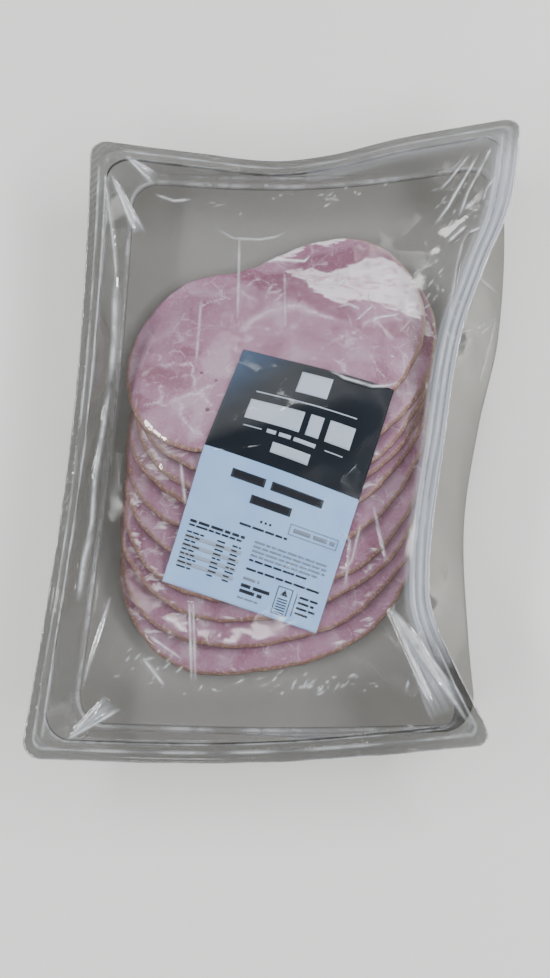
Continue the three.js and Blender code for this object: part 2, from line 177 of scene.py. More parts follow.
@dataclass(frozen=True)
class MeatFinish:
    """Moist cured pork: mottled lean, branching pale veins, streaky fat and a smoked rim, with painted shade
    under and beside the slices.
    """

    lean: tuple = screen(170, 125, 150)
    lean_deep: tuple = screen(146, 94, 116)
    lean_pale: tuple = screen(190, 161, 180)
    fat: tuple = screen(250, 240, 248)
    fat_warm: tuple = screen(214, 170, 182)
    rim: tuple = screen(138, 104, 86)
    rim_fleck: tuple = screen(198, 165, 133)
    rim_cream: tuple = screen(214, 190, 156)
    rim_dark: tuple = screen(66, 34, 26)
    pit: tuple = screen(92, 34, 44)
    # The colour that multiplies in the painted shade.
    shadow: tuple = (0.5, 0.48, 0.46, 1.0)

    def material(self) -> bpy.types.Material:
        """Builds the material.

        Returns:
            The material, which reads the attributes grain, tone, fat, vein, pit, rim, cream and shade.
        """
        bench = NodeBench("cured meat")
        grain = bench.attribute("grain", vector=True)
        fine = bench.noise(grain, 0.9, 2.0)
        pit = bench.eased(bench.attribute("pit"), 0.3, 0.7, 0.0, 0.85)
        colour = self.marbled(bench, grain, fine)
        colour = self.fatty(bench, grain, colour)
        colour = bench.mixed(pit, colour, self.pit)
        colour = self.smoked(bench, grain, fine, colour)
        # Painted shade: the shadow colour is multiplied in by the attribute shade, on all slices but the top
        # one.
        shaded = {0: bench.attribute("shade"), 6: colour, 7: self.shadow}
        darkening = {"data_type": "RGBA", "blend_type": "MULTIPLY", "clamp_factor": True}
        relief = bench.maths("SUBTRACT", bench.noise(grain, 0.4, 2.0), pit)
        sockets = {
            "Base Color": bench.add("Mix", shaded, **darkening).outputs[2],
            "Normal": bench.bumped(relief, 0.0006, 0.5),
            "Roughness": bench.eased(fine, 0.3, 0.7, 0.32, 0.5),
            "Coat Weight": 0.25,
            "Coat Roughness": 0.15,
        }
        return bench.principled(sockets)

    def marbled(self, bench: NodeBench, grain: Socket, fine: Socket) -> Socket:
        """Colours the lean: deeper and paler patches, fine specks and pale veins.

        Args:
            bench: The material's bench.
            grain: The coordinates in the meat.
            fine: The fine speckle.

        Returns:
            The lean's colour.
        """
        tone = bench.maths("MULTIPLY", bench.attribute("tone"), 0.3)
        broad = bench.maths("ADD", bench.noise(grain, 0.05, 3.0, 0.8), tone)
        lean = bench.layered(self.lean, self.lean_deep, broad, 0.28, 0.5, 1.0, 0.0)
        lean = bench.layered(lean, self.lean_pale, broad, 0.52, 0.76, 0.0, 0.9)
        cloud = bench.noise(grain, 0.2, 3.0, 0.6)
        lean = bench.layered(lean, self.lean_pale, cloud, 0.5, 0.72, 0.0, 0.4)
        lean = bench.layered(lean, self.lean_pale, fine, 0.5, 0.7, 0.0, 0.3)
        lean = bench.layered(lean, self.lean_deep, fine, 0.3, 0.46, 0.25, 0.0)

        drift = bench.add("TexNoise", {"Vector": grain, "Scale": 0.05, "Detail": 2.0}).outputs[1]
        shifted = {0: drift, 1: (16.0, 16.0, 4.0), 2: grain}
        twisted = bench.add("VectorMath", shifted, operation="MULTIPLY_ADD").outputs[0]
        network = {"Vector": twisted, "Scale": 0.055, "Randomness": 1.0}
        cells = bench.add("TexVoronoi", network, feature="DISTANCE_TO_EDGE").outputs[0]
        thin = bench.eased(cells, 0.004, 0.035, 0.22, 0.0)
        thin = bench.maths("MULTIPLY", thin, bench.eased(cloud, 0.44, 0.6))
        broken = bench.eased(fine, 0.34, 0.64, 0.1, 0.62)
        thick = bench.maths("MULTIPLY", bench.attribute("vein"), broken)
        return bench.mixed(bench.maths("MAXIMUM", thin, thick), lean, self.fat)

    def fatty(self, bench: NodeBench, grain: Socket, colour: Socket) -> Socket:
        """Lays the streaky, ragged-edged fat over the lean.

        Args:
            bench: The material's bench.
            grain: The coordinates in the meat.
            colour: The lean's colour.

        Returns:
            The colour of both.
        """
        flow = {"Vector": grain, "Rotation": (0.0, 0.0, 0.3), "Scale": (0.42, 1.0, 1.0)}
        streaks = bench.add("Mapping", flow).outputs[0]
        ragged = bench.swayed(bench.noise(streaks, 0.3, 3.0, 0.8), 2.0)
        fatness = bench.eased(bench.maths("ADD", bench.attribute("fat"), ragged), 0.34, 0.66)
        warm = bench.eased(bench.noise(streaks, 0.24, 3.0, 1.4), 0.47, 0.66, 0.0, 0.75)
        leaner = bench.eased(bench.noise(grain, 0.07, 2.0, 1.0), 0.5, 0.7, 0.0, 0.5)
        fat = bench.mixed(leaner, bench.mixed(warm, self.fat, self.fat_warm), self.lean_pale)
        return bench.mixed(fatness, colour, fat)

    def smoked(self, bench: NodeBench, grain: Socket, fine: Socket, colour: Socket) -> Socket:
        """Browns the rim unevenly, and paints a shadow along the lower part of its cut edge.

        Args:
            bench: The material's bench.
            grain: The coordinates in the meat.
            fine: The fine speckle.
            colour: The meat's colour.

        Returns:
            The colour with the rim on it.
        """
        unevenness = bench.swayed(bench.noise(grain, 0.45, 2.0), 0.9)
        rim = bench.maths("ADD", bench.attribute("rim"), unevenness)
        brown = bench.layered(self.rim, self.rim_fleck, fine, 0.5, 0.66, 0.0, 0.8)
        brown = bench.mixed(bench.attribute("cream"), brown, self.rim_cream)
        colour = bench.layered(colour, brown, rim, 0.15, 0.85, 0.0, 0.9)
        # Painted shadow: where the rim number passes 1, at the foot of the cut edge, the colour turns dark.
        return bench.layered(colour, self.rim_dark, rim, 1.0, 1.45, 0.0, 0.9)


@dataclass(frozen=True)
class PaperFinish:
    """Coated label paper: a dark field over a pale one, with a painted sheen towards the dark field's
    top-left corner.
    """

    dark: tuple = screen(2, 15, 28)
    dark_worn: tuple = screen(14, 34, 50)
    dark_sheen: tuple = screen(52, 88, 126)
    pale: tuple = screen(172, 212, 255)
    pale_deep: tuple = screen(162, 202, 255)
    edge: float = 55.0

    def material(self) -> bpy.types.Material:
        """Builds the material.

        Returns:
            The material, which reads the attribute place.
        """
        bench = NodeBench("label paper")
        place = bench.attribute("place", vector=True)
        apart = bench.add("SeparateXYZ", {0: place})
        down = apart.outputs[1]
        below = bench.eased(down, self.edge - 0.15, self.edge + 0.15)
        smudge = bench.noise(place, 0.05, 3.0, 0.4)
        speck = bench.noise(place, 2.5, 2.0)
        dark = bench.layered(self.dark, self.dark_worn, smudge, 0.45, 0.8, 0.0, 0.5)
        dark = bench.layered(dark, self.dark_worn, speck, 0.4, 0.8, 0.0, 0.25)
        # Painted sheen: the dark field turns lighter and bluer towards its top-left corner.
        corner = bench.maths("ADD", bench.maths("MULTIPLY", apart.outputs[0], 1.4), down)
        corner = bench.maths("ADD", corner, bench.maths("MULTIPLY", smudge, 12.0))
        dark = bench.layered(dark, self.dark_sheen, corner, 4.0, 52.0, 0.75, 0.0)
        pale = bench.layered(self.pale, self.pale_deep, smudge, 0.3, 0.7)
        sockets = {
            "Base Color": bench.mixed(below, dark, pale),
            "Roughness": bench.eased(speck, 0.3, 0.7, 0.42, 0.52),
            "Specular IOR Level": 0.25,
            "Normal": bench.bumped(bench.noise(place, 0.8, 3.0), 0.0002, 0.3),
        }
        return bench.principled(sockets)


@dataclass(frozen=True)
class InkFinish:
    """Printing ink of one colour, slightly uneven."""

    name: str
    colour: tuple
    worn: tuple

    def material(self) -> bpy.types.Material:
        """Builds the material.

        Returns:
            The material.
        """
        bench = NodeBench(self.name)
        place = bench.object_place()
        patch = bench.eased(bench.noise(place, 900.0, 2.0), 0.4, 0.75, 0.0, 0.5)
        colour = bench.mixed(patch, self.colour, self.worn)
        sockets = {"Base Color": colour, "Roughness": 0.42}
        return bench.principled(sockets)


@dataclass(frozen=True)
class ClearFinish:
    """Clear packaging film: mostly see-through, glossy, a little milky, denser seen edge-on, and white where
    strained, a white that also paints highlights.

    Attributes:
        name: The material's name.
        tint: What it lets through, seen face-on.
        edge_tint: What it lets through, seen edge-on or where it is dense.
        haze_colour: The colour of its milkiness.
        haze: How milky it is all over.
        cloud: How milky it is at most.
        roughness: How blurred its highlights are.
        gloss: How much stronger than plain glass it mirrors.
        emboss: How deep its fine hatch is.
        whitening_and_highlight: The colour of stretched and scuffed film, which also paints highlights.
    """

    name: str
    tint: tuple
    edge_tint: tuple
    haze_colour: tuple
    haze: float
    cloud: float
    roughness: float
    gloss: float
    emboss: float
    whitening_and_highlight: tuple = screen(238, 243, 248)

    def upper(self) -> bpy.types.Material:
        """Builds the material of the upper skin, which has all the gloss.

        Returns:
            The material, which reads the attributes seal, milk, dense and whitening_and_highlight, the last
            for strain-whitening and painted highlights.
        """
        bench = NodeBench(self.name)
        place = bench.object_place()
        normal = self.embossed(bench, place)
        body = self.body(bench, normal)
        # Strain-whitening and painted highlights: white film where the attribute says so, unevenly.
        uneven = bench.eased(bench.noise(place, 160.0, 3.0), 0.3, 0.62, 0.35, 1.0)
        white = bench.maths("MINIMUM", bench.maths("MULTIPLY", bench.attribute("whitening_and_highlight"), uneven), 0.92)
        body = bench.blended(white, body, self.white_and_highlight_shader(bench))
        sockets = {"Color": (1.0, 1.0, 1.0, 1.0), "Roughness": self.roughness, "Normal": normal}
        shine = bench.add("BsdfGlossy", sockets).outputs[0]
        mirror = bench.add("Fresnel", {"IOR": 1.5, "Normal": normal}).outputs[0]
        mirror = bench.maths("MINIMUM", bench.maths("MULTIPLY", mirror, self.gloss), 0.9)
        surface = bench.blended(mirror, body, shine)
        rays = bench.add("LightPath").outputs
        plain = bench.maths("MAXIMUM", rays["Is Shadow Ray"], rays["Is Diffuse Ray"])
        return bench.finished(bench.blended(plain, surface, self.passing(bench, self.tint)))

    def lower(self) -> bpy.types.Material:
        """Builds the material of the lower skin and the rim.

        Returns:
            The material, which reads the attribute whitening_and_highlight, for strain-whitening and painted
            highlights.
        """
        bench = NodeBench(self.name + " lower skin")
        # Strain-whitening and painted highlights, fainter on this skin.
        white = bench.maths("MULTIPLY", bench.attribute("whitening_and_highlight"), 0.4)
        return bench.finished(bench.blended(white, self.passing(bench, self.tint), self.white_and_highlight_shader(bench)))

    def embossed(self, bench: NodeBench, place: Socket) -> Socket:
        """Presses the patchy fine hatch, the coarser one of the seal and some dimples into the film.

        Args:
            bench: The material's bench.
            place: The coordinates in the object.

        Returns:
            The bumped normal.
        """
        turned = bench.add("Mapping", {"Vector": place, "Rotation": (0.0, 0.0, 0.75)}).outputs[0]
        weave = bench.add("TexWave", {"Vector": turned, "Scale": 310.0, "Distortion": 0.3}).outputs[1]
        press = bench.add("TexWave", {"Vector": turned, "Scale": 110.0, "Distortion": 0.5}).outputs[1]
        patches = bench.eased(bench.noise(place, 22.0, 2.0), 0.46, 0.62)
        relief = bench.maths("MULTIPLY", bench.maths("MULTIPLY", weave, patches), self.emboss)
        relief = bench.maths("ADD", relief, bench.maths("MULTIPLY", press, bench.attribute("seal")))
        dimples = bench.maths("MULTIPLY", bench.noise(place, 90.0, 2.0, 0.6), 0.5)
        return bench.bumped(bench.maths("ADD", relief, dimples), 0.00022, 0.6)

    def body(self, bench: NodeBench, normal: Socket) -> Socket:
        """Lets light through: less where the film is seen edge-on, is dense or is milky.

        Args:
            bench: The material's bench.
            normal: The bumped normal.

        Returns:
            The shader.
        """
        edge = bench.maths("POWER", bench.add("LayerWeight", {"Blend": 0.5}).outputs["Facing"], 2.0)
        dense = bench.maths("MAXIMUM", edge, bench.attribute("dense"))
        clear = self.passing(bench, bench.mixed(dense, self.tint, self.edge_tint))
        cloudy = bench.add("BsdfDiffuse", {"Color": self.haze_colour, "Normal": normal}).outputs[0]
        milky = bench.maths("ADD", bench.maths("MULTIPLY", bench.attribute("milk"), self.cloud), self.haze)
        return bench.blended(bench.maths("MINIMUM", milky, 0.8), clear, cloudy)

    def passing(self, bench: NodeBench, colour: Socket | tuple) -> Socket:
        """Gives a plain see-through shader of one colour."""
        return bench.add("BsdfTransparent", {"Color": colour}).outputs[0]

    def white_and_highlight_shader(self, bench: NodeBench) -> Socket:
        """Gives the white of stretched and scuffed film, which also paints highlights."""
        return bench.add("BsdfDiffuse", {"Color": self.whitening_and_highlight}).outputs[0]


@dataclass(frozen=True)
class FloorFinish:
    """The plain pale floor."""

    colour: tuple = screen(240, 240, 238)
    cloud: tuple = screen(234, 234, 232)

    def material(self) -> bpy.types.Material:
        """Builds the material.

        Returns:
            The material.
        """
        bench = NodeBench("pale floor")
        place = bench.object_place()
        patches = bench.eased(bench.noise(place, 3.0, 3.0), 0.3, 0.7, 0.0, 0.2)
        colour = bench.mixed(patches, self.colour, self.cloud)
        sockets = {"Base Color": colour, "Roughness": 0.9}
        return bench.principled(sockets)


# Shapes


def spline(shares: Array, values: Array, at: Array) -> Array:
    """Draws a smooth curve through some values.

    Args:
        shares: Where the values are, rising.
        values: The values.
        at: Where the curve is read.

    Returns:
        The curve's values there.
    """
    slopes = np.empty_like(values)
    slopes[1:-1] = (values[2:] - values[:-2]) / (shares[2:] - shares[:-2])
    slopes[0] = 1.5 * (values[1] - values[0]) / (shares[1] - shares[0]) - slopes[1] / 2
    slopes[-1] = 1.5 * (values[-1] - values[-2]) / (shares[-1] - shares[-2]) - slopes[-2] / 2
    first = np.clip(np.searchsorted(shares, at) - 1, 0, len(shares) - 2)
    width = shares[first + 1] - shares[first]
    t = (at - shares[first]) / width
    rise = values[first] * (2 * t**3 - 3 * t**2 + 1) + values[first + 1] * (3 * t**2 - 2 * t**3)
    return rise + width * (slopes[first] * (t**3 - 2 * t**2 + t) + slopes[first + 1] * (t**3 - t**2))


@dataclass(frozen=True)
class Side:
    """One bowed side of the pack: its bow, as shares and depths, and the lift of its middle."""

    bow: tuple
    lift: float = 0.0

    def points(self, start: tuple, end: tuple, share: Array) -> Array:
        """Gives points on the side.

        Args:
            start: The corner where it starts.
            end: The corner where it ends.
            share: How far along each point is, 0 to 1.

        Returns:
            The points, one row each.
        """
        first, last = np.array(start, float), np.array(end, float)
        outward = np.array([last[1] - first[1], first[0] - last[0], 0.0])
        outward /= np.linalg.norm(outward)
        bow = np.array(self.bow, float)
        depth = spline(bow[:, 0], bow[:, 1], share)
        points = first + (last - first) * share[..., None] + outward * depth[..., None]
        points[..., 2] += self.lift * np.sin(np.pi * share)
        return points


@dataclass(frozen=True)
class BowedShape:
    """A four-cornered surface whose sides are bowed."""

    near_left: tuple
    near_right: tuple
    far_right: tuple
    far_left: tuple
    near: Side
    right: Side
    far: Side
    left: Side

    HALF_WIDTH = 108.0
    HALF_LENGTH = 155.0

    def at(self, x: Array, y: Array) -> Array:
        """Gives points on the surface.

        Args:
            x: How far right each point is on the unbowed shape.
            y: How far along each point is on the unbowed shape.

        Returns:
            The points, one row each.
        """
        s = (x / self.HALF_WIDTH + 1) / 2
        t = (y / self.HALF_LENGTH + 1) / 2
        near = self.near.points(self.near_left, self.near_right, s)
        far = self.far.points(self.far_right, self.far_left, 1 - s)
        right = self.right.points(self.near_right, self.far_right, t)
        left = self.left.points(self.far_left, self.near_left, 1 - t)
        s, t = s[..., None], t[..., None]
        corners = (1 - s) * (1 - t) * np.array(self.near_left) + s * (1 - t) * np.array(self.near_right)
        corners = corners + (1 - s) * t * np.array(self.far_left) + s * t * np.array(self.far_right)
        return near * (1 - t) + far * t + left * (1 - s) + right * s - corners


FLANGE = BowedShape(
    near_left=(-120.5, -159.0, 23.5),
    near_right=(90.0, -153.0, 25.0),
    far_right=(120.0, 160.0, 28.0),
    far_left=(-104.0, 149.0, 25.0),
    near=Side(((0, 0), (0.5, 5), (1, 0)), -1.5),
    right=Side(
        ((0, 0), (0.1, -20), (0.2, -34), (0.44, -31), (0.6, -26), (0.72, -16), (0.84, -4), (1, 0)), 5.0
    ),
    far=Side(((0, 0), (0.28, -6), (0.44, -13), (0.58, -15), (0.75, -9), (1, 0)), -5.0),
    left=Side(((0, 0), (0.5, -6.5), (1, 0)), -1.5),
)

FOOT = BowedShape(
    near_left=(-104.0, -147.0, 0.0),
    near_right=(86.0, -148.0, 0.0),
    far_right=(112.0, 152.0, 0.0),
    far_left=(-87.0, 142.0, 0.0),
    near=Side(((0, 0), (0.5, 2), (1, 0))),
    right=Side(((0, 0), (0.14, -6), (0.32, -10), (0.49, -4.5), (0.65, 4), (0.87, 5.5), (1, 0))),
    far=Side(((0, 0), (0.5, -9), (1, 0))),
    left=Side(((0, 0), (0.45, -3.5), (1, 0))),
)


class HeightMap:
    """Heights over the plan of the pack, a millimetre apart."""

    HALF_X = 130
    HALF_Y = 170

    def __init__(self, heights: Array | None = None) -> None:
        """Starts a map.

        Args:
            heights: Its heights, or nothing for a level map.
        """
        shape = (2 * self.HALF_Y + 1, 2 * self.HALF_X + 1)
        self.heights = np.zeros(shape) if heights is None else heights
        ys, xs = np.mgrid[-self.HALF_Y : self.HALF_Y + 1, -self.HALF_X : self.HALF_X + 1]
        self.x = xs.astype(float)
        self.y = ys.astype(float)

    def at(self, x: Array, y: Array) -> Array:
        """Reads heights.

        Args:
            x: Where to read.
            y: Where to read.

        Returns:
            The heights there.
        """
        gx = np.clip(x + self.HALF_X, 0, 2 * self.HALF_X - 0.001)
        gy = np.clip(y + self.HALF_Y, 0, 2 * self.HALF_Y - 0.001)
        col, row = gx.astype(int), gy.astype(int)
        fx, fy = gx - col, gy - row
        h = self.heights
        low = h[row, col] * (1 - fx) + h[row, col + 1] * fx
        high = h[row + 1, col] * (1 - fx) + h[row + 1, col + 1] * fx
        return low * (1 - fy) + high * fy

    def bridged(self, passes: int) -> HeightMap:
        """Lays a stiff sheet over the map.

        Args:
            passes: How often the sheet is smoothed, which is how stiff it is.

        Returns:
            The sheet's heights, nowhere lower than the map.
        """
        sheet = self.heights.copy()
        for _ in range(passes):
            sheet = np.maximum(self.heights, averaged(sheet))
        return HeightMap(sheet)

    def softened(self, passes: int) -> HeightMap:
        """Smooths the map.

        Args:
            passes: How often.

        Returns:
            The smoothed map.
        """
        sheet = self.heights.copy()
        for _ in range(passes):
            sheet = averaged(sheet)
        return HeightMap(sheet)


def averaged(grid: Array) -> Array:
    """Averages each inner value of a grid with the four beside it.

    Args:
        grid: The grid.

    Returns:
        The averages, with the border as it was.
    """
    made = grid.copy()
    made[1:-1, 1:-1] = (grid[:-2, 1:-1] + grid[2:, 1:-1] + grid[1:-1, :-2] + grid[1:-1, 2:]) / 4
    return made


def stretched(grid: Array, shape: tuple) -> Array:
    """Stretches a grid to another size.

    Args:
        grid: The grid.
        shape: The new size.

    Returns:
        The stretched grid.
    """
    rows = np.linspace(0, grid.shape[0] - 1, shape[0])
    columns = np.linspace(0, grid.shape[1] - 1, shape[1])
    r = np.minimum(rows.astype(int), grid.shape[0] - 2)
    c = np.minimum(columns.astype(int), grid.shape[1] - 2)
    fr, fc = (rows - r)[:, None], (columns - c)[None, :]
    top = grid[np.ix_(r, c)] * (1 - fc) + grid[np.ix_(r, c + 1)] * fc
    bottom = grid[np.ix_(r + 1, c)] * (1 - fc) + grid[np.ix_(r + 1, c + 1)] * fc
    return top * (1 - fr) + bottom * fr


def ripple(x: Array, y: Array, wavelength: float, seed: int, waves: int = 7) -> Array:
    """Makes a smooth random swell.

    Args:
        x: Where it is read.
        y: Where it is read.
        wavelength: The waves' mean length.
        seed: What the waves are drawn from.
        waves: How many waves it is the sum of.

    Returns:
        The swell, about -1 to 1.
    """
    draw = np.random.default_rng(seed)
    total = np.zeros_like(x)
    for _ in range(waves):
        turn = draw.uniform(0, 2 * math.pi)
        pace = 2 * math.pi / (wavelength * draw.uniform(0.7, 1.5))
        total += np.sin(pace * (x * math.cos(turn) + y * math.sin(turn)) + draw.uniform(0, 2 * math.pi))
    return total / math.sqrt(waves)


def along_path(x: Array, y: Array, path: tuple) -> tuple[Array, Array]:
    """Measures places against a path of straight steps.

    Args:
        x: The places.
        y: The places.
        path: The path's points.

    Returns:
        How far each place is from the path, and how far along it, 0 to 1.
    """
    points = np.array(path, float)
    steps = np.diff(points, axis=0)
    lengths = np.hypot(steps[:, 0], steps[:, 1])
    total = lengths.sum()
    nearest = np.full(x.shape, np.inf)
    share = np.zeros(x.shape)
    done = 0.0
    for start, step, length in zip(points, steps, lengths):
        t = np.clip(((x - start[0]) * step[0] + (y - start[1]) * step[1]) / length**2, 0, 1)
        distance = np.hypot(x - start[0] - t * step[0], y - start[1] - t * step[1])
        closer = distance < nearest
        nearest = np.where(closer, distance, nearest)
        share = np.where(closer, (done + t * length) / total, share)
        done += length
    return nearest, share


# Meshes


class Piece:
    """Makes one object from points and faces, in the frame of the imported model."""

    shift = (0.0, 0.0, 0.0)

    def __init__(self, name: str, points: Array, faces: Array | list) -> None:
        """Makes the object.

        Args:
            name: The object's name.
            points: Its points, in millimetres, one row each.
            faces: Its faces, as rows of point numbers.
        """
        self.mesh = bpy.data.meshes.new(name)
        placed = (np.asarray(points, float) + np.array(Piece.shift)) * METRE
        corners = faces.tolist() if isinstance(faces, Array) else faces
        self.mesh.from_pydata(placed.tolist(), [], corners)
        self.mesh.polygons.foreach_set("use_smooth", [True] * len(self.mesh.polygons))
        self.mesh.update()
        self.object = bpy.data.objects.new(name, self.mesh)
        self.lower: bpy.types.Material | None = None
        bpy.context.scene.collection.objects.link(self.object)

    def number(self, name: str, values: Array) -> None:
        """Stores a number at each point."""
        stored = self.mesh.attributes.new(name, "FLOAT", "POINT")
        stored.data.foreach_set("value", np.asarray(values, np.float32).ravel())

    def vector(self, name: str, values: Array) -> None:
        """Stores a vector at each point, one row each."""
        stored = self.mesh.attributes.new(name, "FLOAT_VECTOR", "POINT")
        stored.data.foreach_set("vector", np.asarray(values, np.float32).ravel())

    def thickened(self, thickness: float, lower: bpy.types.Material | None = None) -> None:
        """Gives a sheet its thickness, below its points.

        Args:
            thickness: The thickness, in millimetres.
            lower: The material of the lower skin, where that is another one.
        """
        solid = self.object.modifiers.new("thickness", "SOLIDIFY")
        solid.thickness = thickness * METRE
        solid.offset = -1.0
        self.lower = lower
        if lower is not None:
            solid.material_offset = 1

    def dressed(self, material: bpy.types.Material, slot: str, *nodes: str) -> None:
        """Gives the piece its material, its body and the nodes that it stands for.

        Args:
            material: The material.
            slot: The record's material slot, which is not used.
            *nodes: The nodes that it replaces, none for an extra piece.
        """
        self.mesh.materials.append(material)
        if self.lower is not None:
            self.mesh.materials.append(self.lower)
        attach(self.object, BODY)
        if nodes:
            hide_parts(*nodes)
        log.info("%s: %d points", self.object.name, len(self.mesh.vertices))


def grid_faces(rows: int, columns: int, wrapped: bool = False) -> Array:
    """Gives the faces of a grid of points, row after row.

    Args:
        rows: How many rows.
        columns: How many points each has.
        wrapped: Whether each row's last point joins its first.

    Returns:
        The faces, four point numbers each.
    """
    across = columns if wrapped else columns - 1
    row, column = np.mgrid[0 : rows - 1, 0:across]
    after = (column + 1) % columns
    here, there = row * columns, (row + 1) * columns
    corners = [here + column, here + after, there + after, there + column]
    return np.stack(corners, axis=-1).reshape(-1, 4)


# The bacon


@dataclass(frozen=True)
class Patch:
    """A patch of a slice: a path, with the patch's half-width at each of its points."""

    points: tuple

    def cover(self, x: Array, y: Array, soft: float) -> Array:
        """Gives how far places are covered by the patch.

        Args:
            x: The places, from the slice's centre.
            y: The places, from the slice's centre.
            soft: How wide the patch's edge is.

        Returns:
            1 inside the patch and 0 outside it.
        """
        inside = np.full(x.shape, -1000.0)
        for (ax, ay, a_half), (bx, by, b_half) in zip(self.points, self.points[1:]):
            step = (bx - ax) ** 2 + (by - ay) ** 2
            t = np.clip(((x - ax) * (bx - ax) + (y - ay) * (by - ay)) / step, 0, 1)
            gone = np.hypot(x - ax - t * (bx - ax), y - ay - t * (by - ay))
            inside = np.maximum(inside, a_half + t * (b_half - a_half) - gone)
        return np.clip(inside / soft + 0.5, 0, 1)


class Marbling:
    """Where a slice is fatty, deep, pale, veined and pitted, all measured from its centre."""

    FAT = (
        Patch(((6.9, 43.4, 0.6), (14.7, 40.2, 2.9), (20.4, 38.4, 4.6), (25.8, 33.6, 7.4), (35, 30.8, 10.8),
               (45.4, 34.6, 11.6), (55.7, 35.5, 15.5), (65.5, 29, 13), (71.8, 22.2, 8))),
        Patch(((20.5, 62, 1.6), (28, 64, 4.6), (36, 64.5, 2.6))),
        Patch(((-6, 52, 1.2), (5.7, 54.5, 2.6), (15, 58, 1.8))),
    )
    SIDE_FAT = (
        Patch(((-71, -24, 1.6), (-67, -29, 3), (-60, -38, 4), (-54, -45, 3.4), (-47, -52, 2))),
        Patch(((-30, -60, 1), (-18, -63, 2.4), (-4, -64, 1))),
        Patch(((30, -50, 1), (42, -42, 2.6), (52, -32, 1.4))),
    )
    DEEP = (
        Patch(((18.4, 48, 3), (27.6, 47.7, 5.5), (37.5, 50.5, 6), (48.1, 56, 3))),
        Patch(((-16.1, 42, 3), (-3.5, 37.4, 5), (7, 36.4, 4), (16, 32.5, 1.5))),
        Patch(((9, 29.2, 2), (24.3, 19.9, 3.4), (37.8, 12.9, 2))),
        Patch(((57.6, 5.3, 3), (66.9, 6.1, 5), (72.4, 10.2, 3), (72, -6, 3))),
        Patch(((-63.6, -14.7, 3.5), (-56, -19, 5), (-48.8, -22.5, 3))),
        Patch(((-66.6, -30.8, 2), (-62.8, -36, 2.5))),
    )
    PALE = (
        Patch(((-14.5, 6.8, 1.5), (-9, 13, 2), (-0.7, 17.2, 2.5), (10.5, 19.6, 2.2), (24.1, 13, 2),
               (32.1, 9.4, 1.4))),
        Patch(((-71.6, -5.9, 2), (-72.4, -13.6, 2.6))),
        Patch(((-46, -34, 3), (-38, -31, 3.5), (-33, -36, 3), (-37, -52, 4))),
        Patch(((-26, -4, 6), (-30, -12, 6), (-22, -18, 4))),
    )
    VEINS = (
        ((-14.5, 6.8), (-9, 13), (-0.7, 17.2), (10.5, 19.6), (18.7, 16), (24.1, 13), (32.1, 9.4)),
        ((-1.3, 34.4), (-2.2, 28.7), (-4.1, 25.1)),
        ((-2.2, 28.7), (4.9, 30.6)),
        ((-16.2, 32.3), (-12.6, 26.9), (-11, 23)),
        ((-13.4, 35.3), (-7.1, 40.3)),
        ((-37.2, 22.4), (-28.9, 26.2), (-21.7, 27.4)),
        ((-29.1, 35.4), (-25.4, 27.1)),
        ((1.3, 24), (4.8, 27.9)),
        ((35.9, 0), (42.3, 4.7)),
        ((43.8, 5.1), (50, 11.8), (60.3, -0.8)),
        ((-62.5, -34.6), (-54.9, -34.4), (-50.8, -36.1)),
        ((-45.6, -32.6), (-43.9, -36.6), (-44, -42.7), (-41.1, -47), (-32.4, -54.5)),
        ((-51, -35.2), (-43.5, -31.4), (-36.2, -29.4), (-27.1, -24.2)),
        ((-36.2, -29.4), (-29.5, -37.1)),
        ((-55, -23.3), (-53.8, -36.2)),
        ((-57.3, -13.3), (-47.2, -12.7), (-40.1, -13.4), (-37.7, -27.4)),
        ((30, -13.7), (33.8, -16.2), (35.6, -21)),
    )
    CRACKS = (
        ((47.9, 27.6), (48.6, 22.6), (52.4, 23.3)),
        ((55.8, 21.5), (58.4, 19.6)),
        ((61.7, 18.1), (66.1, 17.4), (70.9, 17.8)),
    )
    PITS = (
        (-31.3, -39.2, 1.1),
        (-35, -18.3, 0.8),
        (-27.7, -23, 0.8),
        (-1.2, 35.8, 0.6),
        (6.4, 41.8, 0.6),
        (13.2, 21.8, 0.6),
    )
    # How fatty the side is at most, and how far marks are shifted in all slices but the top one.
    SIDE_FATNESS = 0.42
    DRIFT = 3.5

    def __init__(self, order: int) -> None:
        """Takes the marbling of one slice, numbered from the bottom, a little unlike its neighbours'."""
        self.order = order
        self.drift = 0.0 if order == Stack.COUNT - 1 else self.DRIFT

    def drifted(self, x: Array, y: Array) -> tuple[Array, Array]:
        """Shifts places a little, by another amount in each slice."""
        shifted_x = x + self.drift * ripple(x, y, 60.0, 500 + self.order)
        return shifted_x, y + self.drift * ripple(x, y, 60.0, 600 + self.order)

    def mark(self, piece: Piece, x: Array, y: Array) -> None:
        """Stores the marbling at a piece's points.

        Args:
            piece: The slice's piece.
            x: Its points, from the slice's centre.
            y: Its points, from the slice's centre.
        """
        x, y = self.drifted(x, y)
        fat = self.covered(x, y, self.FAT, 4.0)
        if self.drift:
            fat = np.maximum(fat, self.SIDE_FATNESS * self.covered(x, y, self.SIDE_FAT, 6.0))
        piece.number("fat", fat)
        piece.number("tone", self.covered(x, y, self.PALE, 4.0) - self.covered(x, y, self.DEEP, 5.0))
        piece.number("vein", np.max([self.line(x, y, path, 0.85) for path in self.VEINS], axis=0))
        dots = [np.clip(size + 0.5 - np.hypot(x - dx, y - dy), 0, 1) for dx, dy, size in self.PITS]
        cracks = [0.8 * self.line(x, y, path, 0.5) for path in self.CRACKS]
        piece.number("pit", np.max(dots + cracks, axis=0))

    @staticmethod
    def covered(x: Array, y: Array, patches: tuple, soft: float) -> Array:
        """Gives 1 at places inside any of some patches, and 0 outside them all."""
        return np.max([patch.cover(x, y, soft) for patch in patches], axis=0)

    @staticmethod
    def line(x: Array, y: Array, path: tuple, width: float) -> Array:
        """Gives the strength, 0 to 1, of a soft line that fades at its ends."""
        distance, share = along_path(x + 0.5 * np.sin(y * 0.9), y + 0.5 * np.sin(x * 0.8), path)
        return np.exp(-((distance / width) ** 2)) * np.clip(np.minimum(share, 1 - share) * 6 + 0.2, 0, 0.9)


